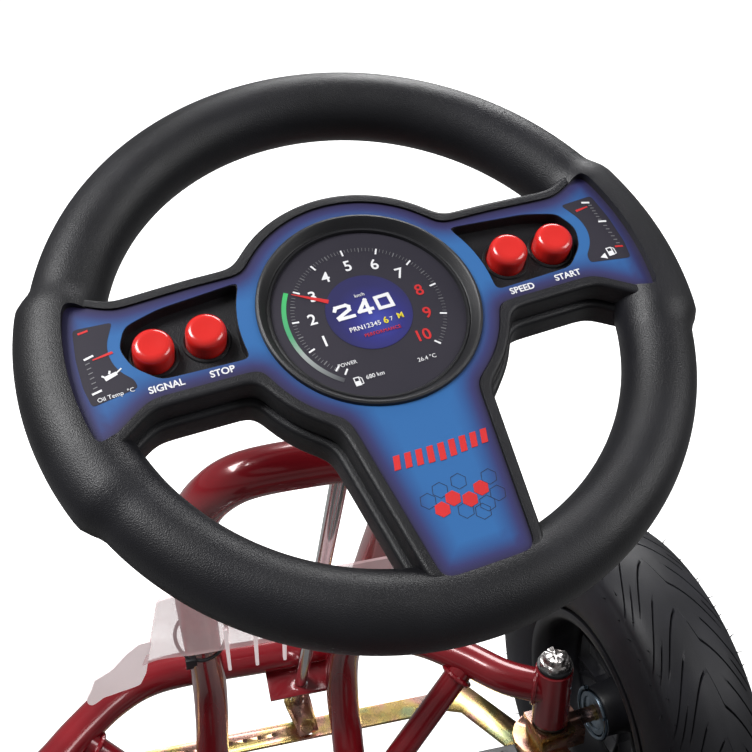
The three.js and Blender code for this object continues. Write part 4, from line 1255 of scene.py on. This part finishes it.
# %% Spine with the crank housing
CRANK_AT = (0, 165, 190)
SPINE_PATH = [(0, -145, 96), (0, 0, 99), (0, 120, 101.4), (0, 148, 104), (0, 160, 112), (0, 165, 130),
              (0, 165, 176)]
spine_low = tube("spine", SPINE_PATH, TUBE_R, 6.0, rings=6)
crank_house = lathe("house", [(7.3, -24), (16.2, -24), (17, -23.2), (17, 23.2), (16.2, 24), (7.3, 24)], 64)
crank_house.data.transform(Matrix.Translation(CRANK_AT) @ Matrix.Rotation(math.radians(90), 4, "Y"))
painted(join("spine", [spine_low, crank_house]), "spine_tube", ("centre_spine",), angle=45)
weld_bead("crank_house_weld", (0, 165, 174.6), (0, 0, 1), TUBE_R + 0.6)
print("frame done")

# %% [markdown]
# ## Kingpins
# On each kingpin sits a bright domed nut with a six-sided foot, above a black bush. The dome is
# dented where the metal was closed over the thread.

# %% Kingpin nuts
NUT_LOW = 221.9
NUT_FOOT = 225.5                 # the six-sided foot ends below this height, and the dome starts above it
NUT_FACE = math.pi / 3           # one side of the foot, as an angle
NUT_SECTION = [(0, NUT_LOW), (12, NUT_LOW), (12, 225.2), (11.4, 225.8), (9.8, 226.2), (9.6, 229.2),
               (8.6, 230.9), (6.0, 231.7), (3.0, 231.4), (0, 230.6)]
WASHER_SECTION = [(6.4, 221.0), (13.2, 221.0), (13.8, 221.3), (13.4, NUT_LOW), (6.4, NUT_LOW)]
DENT_TURN = 0.9                  # where the deep dent is, and how deep
DENT_DEPTH = 3.6


def dented_nut(seed):
    nut = lathe("nut", NUT_SECTION, 60)
    for vertex in nut.data.vertices:
        turn = math.atan2(vertex.co.y, vertex.co.x)
        flat = vertex.co.xy.length
        height = vertex.co.z
        if height < NUT_FOOT and flat > 11:
            from_flat = (turn % NUT_FACE) - NUT_FACE / 2
            scale = min(1.0, math.cos(NUT_FACE / 2) / math.cos(from_flat) * 1.07)
            vertex.co.x *= scale
            vertex.co.y *= scale
        if height > NUT_FOOT + 0.5:
            dent = noise.noise(Vector((vertex.co.x * 0.2, vertex.co.y * 0.2, seed)))
            vertex.co.z += 1.8 * dent
            if abs(turn - DENT_TURN) < 0.5 and flat > 2:
                vertex.co.z -= DENT_DEPTH
    return nut


for side, sign in SIDES:
    settle(dented_nut(sign * 3.1), f"kingpin_nut_{side}_piece", f"knuckle_{side}", ZINC_PLATE,
           at_kingpin(sign), (f"kingpin_nut_{side}",), 30)
    settle(lathe("washer", WASHER_SECTION, 48), f"kingpin_washer_{side}", f"knuckle_{side}",
           NYLON, at_kingpin(sign))
    softened(f"kingpin_{side}", 0.4)
    softened(f"tie_pin_{side}", 0.5)
print("kingpins done")

# %% [markdown]
# ## Wheels
# All four tyres are the same: a fat tread with long curved grooves laid out like a fern, a smooth
# shoulder band, and a sidewall. A grid is wrapped round the section, and its columns are slanted so
# that they run along the grooves. Pushing one column in then gives a clean groove, with no steps
# across the grid.

# %% Tyre
TYRE_SECTION = [(-22, 84), (-27, 85.5), (-33, 89), (-38, 97), (-41.2, 107), (-41.8, 116), (-40.6, 127),
                (-37.6, 135.5), (-35.6, 138.6), (-34.4, 141.4), (-29, 146.2), (-21, 149.6), (-11, 151.8),
                (0, 152.4)]
GROOVES = 20
COLUMNS = 32                     # grid columns from one groove to the next
SLANT = 1.5                      # grooves passed between the middle and the edge of the tread
GROOVE_DEPTH = 3.0
TREAD_HALF = 36.0
# each groove: its column, and where it starts and ends between the middle (0) and the edge (1)
GROOVE_LINES = [(0, 0.05, 0.74), (14, 0.34, 0.98), (23, 0.62, 0.90)]


def smooth_section(section, spacing):
    path = through([(x, r, 0) for x, r in section], spacing)
    return [(p.x, p.y) for p in path]


def groove_depth(reach, column):
    """How deep the tread is cut at this reach from the middle, on this grid column."""
    for line, first, last in GROOVE_LINES:
        off = abs((column - line + COLUMNS / 2) % COLUMNS - COLUMNS / 2)
        if first < reach < last and off < 1:
            return min(1.0, (reach - first) / 0.08, (last - reach) / 0.10)
    return 0.0


half_section = smooth_section(TYRE_SECTION, 2.2)
section = half_section + [(-x, r) for x, r in reversed(half_section[:-1])]
inner_wall = [(22, 80), (-22, 80)]
around = len(section) + len(inner_wall)
step_count = GROOVES * COLUMNS
tread_points, tread_faces = [], []
for step in range(step_count):
    for x, r in section:
        reach = min(1.0, abs(x) / TREAD_HALF)
        shift = SLANT * COLUMNS * reach ** 1.5 + (COLUMNS // 2 if x > 0 else 0) * min(1.0, reach * 8)
        sunk = GROOVE_DEPTH * groove_depth(reach, step) if r > 139 else 0.0
        turn = 2 * math.pi * (step + shift) / step_count
        tread_points.append((x, (r - sunk) * math.cos(turn), (r - sunk) * math.sin(turn)))
    for x, r in inner_wall:
        turn = 2 * math.pi * (step + SLANT * COLUMNS + (COLUMNS // 2 if x > 0 else 0)) / step_count
        tread_points.append((x, r * math.cos(turn), r * math.sin(turn)))
for step in range(step_count):
    ring, following = step * around, ((step + 1) % step_count) * around
    for i in range(around):
        j = (i + 1) % around
        tread_faces.append((ring + i, following + i, following + j, ring + j))
tyre_model = node_of("tyre", tread_points, [], tread_faces)
weld(tyre_model)
print("tyre", len(tyre_model.data.polygons), "faces")

# %% [markdown]
# The rim has ten slim spokes that fork near the barrel. One fork is modelled as three thin bars and
# copied round, then the barrel and hub are turned from profiles.

# %% Rim
SPOKES = 10


def spoke_bar(start, end, wide, deep, wide_end):
    """A tapered bar lying in the wheel's plane."""
    node = slab("spoke", bar(start, end, wide, wide_end), -deep / 2, deep / 2)
    return bevel(node, 0.7, 2)


BARREL_SECTION = [(74, -22), (78, -33), (81.4, -35.6), (85.6, -36.2), (88.0, -35.4), (87.6, -33), (82, -24),
                  (81.4, -22), (81.4, 22), (82, 24), (87.6, 33), (88.0, 35.4), (85.6, 36.2), (81.4, 35.6),
                  (78, 33), (74, 22)]


def rim_model(bore):
    parts = []
    barrel = lathe("barrel", BARREL_SECTION, 120)
    hub = lathe("hub", [(bore, -24), (19, -24), (20.5, -22), (21.5, -8), (23, 0), (23, 16), (21.5, 21),
                        (20, 24), (bore, 24)], 72)
    ledge = lathe("ledge", [(70.5, 3), (75.5, 3), (75.5, 13), (72.5, 13.8), (70.5, 12)], 120)
    parts += [barrel, hub, ledge]
    for index in range(SPOKES):
        turn = Matrix.Rotation(2 * math.pi * index / SPOKES, 4, "Z") @ Matrix.Translation((0, 0, 8))
        fork = [spoke_bar((21, 0), (48, 0), 4.2, 14, 3.0), spoke_bar((46, 0.4), (74, 7.4), 2.6, 12, 2.2),
                spoke_bar((46, -0.4), (74, -7.4), 2.6, 12, 2.2)]
        for piece in fork:
            piece.data.transform(turn)
        parts += fork
    return join("rim", parts)


# %% [markdown]
# The vent hairs are short tapered cones, a few dozen to a tyre, in two rows at the tread edge.

# %% Rubber hairs
HAIRS = 44


def hairs_model():
    points, faces = [], []
    for index in range(HAIRS):
        for row, (x, r) in enumerate(((-31.5, 144.2), (31.5, 144.2), (-36.6, 137.0), (36.6, 137.0))):
            turn = 2 * math.pi * (index + 0.25 * row) / HAIRS + 0.03 * math.sin(index * 7.3 + row)
            length = 6.4 + 2.2 * math.sin(index * 3.7 + row * 2.1)
            lean = 0.25 * math.sin(index * 5.1 + row)
            radial = Vector((0, math.cos(turn), math.sin(turn)))
            side = Vector((math.copysign(1, x), 0, 0))
            tangent = Vector((0, -math.sin(turn), math.cos(turn)))
            out = (radial * (0.9 if row < 2 else 0.5) + side * 0.5 + tangent * lean).normalized()
            root = radial * (r - 0.6) + Vector((x, 0, 0))
            base = len(points)
            across = out.cross(tangent).normalized()
            for t in range(4):
                a = math.pi / 2 * t
                points.append(root + (tangent * math.cos(a) + across * math.sin(a)) * 0.55)
            points.append(root + out * length)
            faces += [(base + t, base + (t + 1) % 4, base + 4) for t in range(4)]
            faces.append((base + 3, base + 2, base + 1, base))
    return weld(node_of("hairs", points, [], faces))


hairs = hairs_model()

# %% [markdown]
# The four wheels: the front ones stand on the steered knuckles and turn with them, the rear ones are
# fixed to the axle. The CAD tyre's box gives each place, and the left wheels face the other way.

# %% Wheels in place
KNUCKLE_TURN = 6.75              # degrees, how far the front wheels point to the left at rest
front_rim = rim_model(16.5)
rear_rim = rim_model(7.6)
ring_model = lathe("ring", [(13.2, 22), (18.4, 22), (18.4, 26.0), (17.6, 27), (14.0, 27), (13.2, 26.2)], 72)
clip_model = tube("clip", [(*polar(20.6, 40 + 13 * i), 26.4) for i in range(21)], 2.0, 3.0)
stem_model = rod("stem", (0, 62, 11), (0, 60, 25), 2.1, 20, 0.5)
for end, rim_source in (("front", front_rim), ("rear", rear_rim)):
    for side, sign in SIDES:
        low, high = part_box(f"{end}_tyre_{side}")
        centre = (Vector(low) + Vector(high)) / 2
        turned = KNUCKLE_TURN if end == "front" else 0.0
        stand = Matrix.Translation(centre) @ Matrix.Rotation(math.radians(turned), 4, "Z") @ KART
        facing = stand @ Matrix.Rotation(math.radians(90 * sign), 4, "Y")
        body = f"front_wheel_{side}" if end == "front" else "rear_axle"
        settle(twin(tyre_model), f"{end}_tyre_{side}_tread", body, RUBBER, stand,
               (f"{end}_tyre_{side}",), 30)
        settle(twin(hairs), f"{end}_tyre_{side}_hairs", body, RUBBER, stand)
        settle(twin(rim_source), f"{end}_rim_{side}_spoked", body, SMOOTH_BLACK, facing,
               (f"{end}_rim_{side}",), 40)
        settle(twin(stem_model), f"{end}_valve_{side}", body, RUBBER, facing)
        for face in (1, -1):
            ring_place = stand @ Matrix.Rotation(math.radians(90 * face), 4, "Y")
            where = "out" if face > 0 else "in"
            settle(twin(ring_model), f"{end}_hub_ring_{side}_{where}", body, BEARING_STEEL,
                   ring_place, angle=40)
            settle(twin(clip_model), f"{end}_hub_clip_{side}_{where}", body, BEARING_STEEL,
                   ring_place, angle=50)
for model in (tyre_model, hairs, front_rim, rear_rim, ring_model, clip_model, stem_model):
    bpy.data.objects.remove(model)
print("wheels done")

# %% [markdown]
# ## Front panel
# The panel is a thin frosted sheet tied to the driver's side of the two legs. It is drawn flat, in
# the plane that leans back with the legs, and cut by planes into a grid so that it can be bent. Each
# side droops in a pointed wing, and three thin fins hang from the sheet on the driver's side of the
# beam.

# %% Outlines of the panel
PANEL_FOOT = (0, 379, 198)
PANEL_LEAN = 0.444
ON_PANEL = KART @ Matrix.Translation(PANEL_FOOT) @ Matrix.Rotation(math.pi / 2 + PANEL_LEAN, 4, "X")
SHEET_HALF = [(-82, 243), (-87, 200), (-91, 168), (-96.7, 143), (-92, 147), (-87, 150), (-78, 149.5),
              (-62, 146)]
SHAFT_ARCH = [(10, 144), (12, 168), (36, 168), (40, 144)]
WING = [(-88, 183), (-96, 181.5), (-105, 166), (-115, 141), (-128, 118), (-132, 97), (-137, 76),
        (-137.4, 66), (-135, 63.6), (-131.5, 70), (-125, 85), (-113, 98), (-99.5, 109), (-94.4, 130),
        (-90, 168)]
FINS = [[(x - 4.4, 182), (x - 1.6, 182), (x + 1.2, 108), (x - 1.0, 108)] for x in (-39.5, -20.8, -1.8)]
sheet_outline = [(-60, 247)] + SHEET_HALF + [(0, 144)] + SHAFT_ARCH + mirrored(SHEET_HALF) + [(60, 247)]


def grid_cut(node, spacing, reach):
    """Cuts the piece along X and Y every so many millimetres."""
    activate(node)
    bpy.ops.object.mode_set(mode="EDIT")
    for index in range(-reach, reach + 1):
        for normal in ((1, 0, 0), (0, 1, 0)):
            bpy.ops.mesh.select_all(action="SELECT")
            bpy.ops.mesh.bisect(plane_co=(index * spacing, index * spacing, 0), plane_no=normal)
    done()


# %% Panel sheet
SHEET_THICK = 1.6
sheet = slab("sheet", soften(sheet_outline, 2.0, 3), 0, SHEET_THICK)
grid_cut(sheet, 12, 21)
for vertex in sheet.data.vertices:
    vertex.co.z += 0.5 * noise.noise(Vector((vertex.co.x * 0.02, vertex.co.y * 0.02, 4.0))) + 0.5
settle(sheet, "panel_sheet", "chassis", FROSTED, ON_PANEL, ("front_panel",), 30)
fins = slab("fins", [soften(fin, 1.0, 2) for fin in FINS], 1.2, 3.4)
settle(fins, "panel_fins", "chassis", FROSTED_WING, ON_PANEL)
CURL = 9.0                       # how far the tip of a wing bends forward
CURL_FROM, CURL_SPAN = 92, 46
for side, sign in SIDES:
    wing = slab("wing", soften(WING, 1.6, 3), 0.2, 2.0)
    grid_cut(wing, 6, 31)
    for vertex in wing.data.vertices:
        along = max(0.0, (-vertex.co.x - CURL_FROM) / CURL_SPAN)
        vertex.co.z -= CURL * along * along
        vertex.co.x *= -sign
    settle(wing, f"panel_wing_{side}", "chassis", FROSTED_WING, ON_PANEL, angle=40,
           flip=sign > 0)
print("panel done")

# %% [markdown]
# A black tie goes round the left leg, behind the sheet. It sags on the driver's side, where its head is.
# The loop is a round bar through points on an ellipse, and the head is a small box with an inset,
# drawn-out foot.

# %% Panel tie
LEG_AT = Vector((-55.2, 348.5, 315))
LEG_ALONG = Vector((0, -0.475, 0.88)).normalized()
TO_DRIVER = Vector((0, -0.88, -0.475)).normalized()
ACROSS = Vector((1, 0, 0))
LOOP_WIDE, LOOP_DEEP = 17.5, 15.8
LOOP_SAG = 11.0
LOOP_STEPS = 36
loop_points = []
for step in range(LOOP_STEPS):
    turn = 2 * math.pi * step / LOOP_STEPS
    sag = LEG_ALONG * LOOP_SAG * max(0.0, math.sin(turn)) ** 1.2
    loop_points.append(LEG_AT + ACROSS * LOOP_WIDE * math.cos(turn) + TO_DRIVER * LOOP_DEEP * math.sin(turn)
                       - sag)
tie_loop = tube("tie", loop_points, 1.3, cyclic=True)
head_at = LEG_AT + Vector((-9, 0, 0)) + TO_DRIVER * 15.0 - LEG_ALONG * LOOP_SAG
bpy.ops.object.select_all(action="DESELECT")
bpy.ops.mesh.primitive_cube_add(size=1, location=head_at)
tie_head = bpy.context.object
tie_head.scale = (7.5, 5.0, 6.0)
bpy.ops.object.transform_apply(location=True, rotation=True, scale=True)
pick(tie_head, lambda face: face.normal.z < -0.5)
bpy.ops.mesh.inset(thickness=1.2)
bpy.ops.mesh.extrude_region_move(TRANSFORM_OT_translate={"value": (-1.5, 0, -3.2)})
done()
bevel(tie_head, 0.8, 3)
settle(join("tie", [tie_loop, tie_head]), "panel_tie", "chassis", NYLON, angle=40)
print("tie done")

# %% [markdown]
# ## Drive
# The chain is made of real links: an outer link and an inner link are cut from figure-of-eight
# plates, with a roller at each pin, and copies follow the loop round both gears.

# %% Chain path
PITCH = 12.7
CHAIN_X = 32
CHAIN_RIDE = 6.1                 # how far the chain's middle rides outside the pitch circle
REAR_AXLE_AT = Vector((0, -352.2, 152.4))
BIG_AT = Vector(CRANK_AT[1:])
SMALL_AT = REAR_AXLE_AT.yz


def ride_radius(teeth):
    return PITCH / (2 * math.sin(math.pi / teeth)) + CHAIN_RIDE


BIG_R, SMALL_R = ride_radius(28), ride_radius(14)
span = BIG_AT - SMALL_AT
lean = math.atan2(span.y, span.x)
open_turn = math.acos((BIG_R - SMALL_R) / span.length)


def around_gear(centre, radius, first, last, count=60):
    turns = [first + (last - first) * i / count for i in range(count + 1)]
    return [centre + radius * Vector((math.cos(turn), math.sin(turn))) for turn in turns]


chain_path = around_gear(BIG_AT, BIG_R, lean - open_turn, lean + open_turn)
chain_path += around_gear(SMALL_AT, SMALL_R, lean + open_turn, lean + 2 * math.pi - open_turn)
lengths = [0.0]
for a, b in zip(chain_path, chain_path[1:] + chain_path[:1]):
    lengths.append(lengths[-1] + (b - a).length)
LINKS = 2 * round(lengths[-1] / PITCH / 2)


def on_chain(distance):
    distance %= lengths[-1]
    for i in range(len(chain_path)):
        if lengths[i + 1] >= distance:
            share = (distance - lengths[i]) / max(lengths[i + 1] - lengths[i], 1e-9)
            return chain_path[i].lerp(chain_path[(i + 1) % len(chain_path)], share)
    return chain_path[0]


# %% Chain links
link_outline = arc((0, 0), 3.9, 50, 310, 7) + [(PITCH / 2, -2.5)]
link_outline += [(PITCH + x, y) for x, y in arc((0, 0), 3.9, 230, 490, 7)] + [(PITCH / 2, 2.5)]
outer_link = join("outer", [slab("plate", link_outline, 3.0, 4.0), slab("plate", link_outline, -4.0, -3.0)])
pins = [rod("pin", (x, 0, -4.0), (x, 0, 4.0), 1.7, 8) for x in (0, PITCH)]
outer_link = join("outer", [outer_link] + pins)
inner_plates = [slab("plate", link_outline, 1.9, 2.9), slab("plate", link_outline, -2.9, -1.9)]
rollers = [rod("roller", (x, 0, -1.9), (x, 0, 1.9), 2.9, 10) for x in (0, PITCH)]
inner_link = join("inner", inner_plates + rollers)
SIDEWAYS = Matrix(((0, 0, 1, CHAIN_X), (1, 0, 0, 0), (0, 1, 0, 0), (0, 0, 0, 1)))
links = []
for index in range(LINKS):
    here, there = (on_chain(lengths[-1] * (index + step) / LINKS) for step in (0, 1))
    heading = there - here
    link = twin(outer_link if index % 2 else inner_link)
    link.data.transform(SIDEWAYS @ Matrix.Translation((here.x, here.y, 0))
                        @ Matrix.Rotation(math.atan2(heading.y, heading.x), 4, "Z"))
    links.append(link)
for model in (outer_link, inner_link):
    bpy.data.objects.remove(model)
settle(join("links", links), "chain_links", "chassis", STEEL, stands_for=("chain",),
       angle=30)
print("chain of", LINKS, "links")

# %% [markdown]
# The crank has an arm on each side, and each pedal is a black block with raised treads. The rear axle
# gets its lock nuts outside the wheels, and a collar inside each bearing.

# %% Crank, pedals and rear axle
softened("crank", 1.6, 3)
softened("rear_axle", 0.8)
TREADS = 6
TREAD_STEP = 10.4
WHEEL_X = 273                    # middle of a rear wheel
COLLAR_X = 105
LOCK_SECTION = [(7.6, 26), (12.5, 26), (12.8, 27), (12.5, 34), (11, 36), (7.6, 36)]
AXLE_COLLAR_SECTION = [(7.6, -5), (12.0, -5), (12.8, -4.2), (12.8, 4.2), (12.0, 5), (7.6, 5)]


def on_axle(x, turn):
    place = Matrix.Translation((x, REAR_AXLE_AT.y, REAR_AXLE_AT.z))
    return KART @ place @ Matrix.Rotation(math.radians(turn), 4, "Y")


for side, sign in SIDES:
    softened(f"pedal_{side}", 2.0, 3)
    low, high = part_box(f"pedal_{side}")
    middle = (Vector(low) + Vector(high)) / 2 / MM
    treads = []
    for index in range(TREADS):
        x = middle.x + TREAD_STEP * (index - (TREADS - 1) / 2)
        for face in (1, -1):
            rib = slab("rib", [(x - 2.2, middle.y - 27), (x + 2.2, middle.y - 27), (x + 2.2, middle.y + 27),
                               (x - 2.2, middle.y + 27)], middle.z + 10.6 * face, middle.z + 12.6 * face)
            treads.append(bevel(weld(rib), 0.7, 2))
    settle(join("treads", treads), f"pedal_{side}_treads", f"pedal_{side}", NYLON)
    lock = bevel(lathe("lock", LOCK_SECTION, 6), 0.6, 2, 20)
    settle(lock, f"axle_nut_{side}", "rear_axle", ZINC_PLATE,
           on_axle(sign * WHEEL_X, 90 * sign))
    collar = lathe("collar", AXLE_COLLAR_SECTION, 48)
    settle(collar, f"axle_collar_{side}", "rear_axle", STEEL, on_axle(sign * COLLAR_X, 90))
print("drive done")

# %% [markdown]
# ## CAD nodes that stay
# Nodes whose shape is right keep it, and only get their finish.

# %% Finishes for the CAD nodes
for part in frame["nodes"].values():
    for holder in part.material_slots:
        wanted = [made for key, made in FINISH_OF_SLOT.items()
                  if holder.material.name.startswith(key)]
        if wanted:
            holder.material = wanted[0]
print("CAD nodes dressed", len(frame["nodes"]))
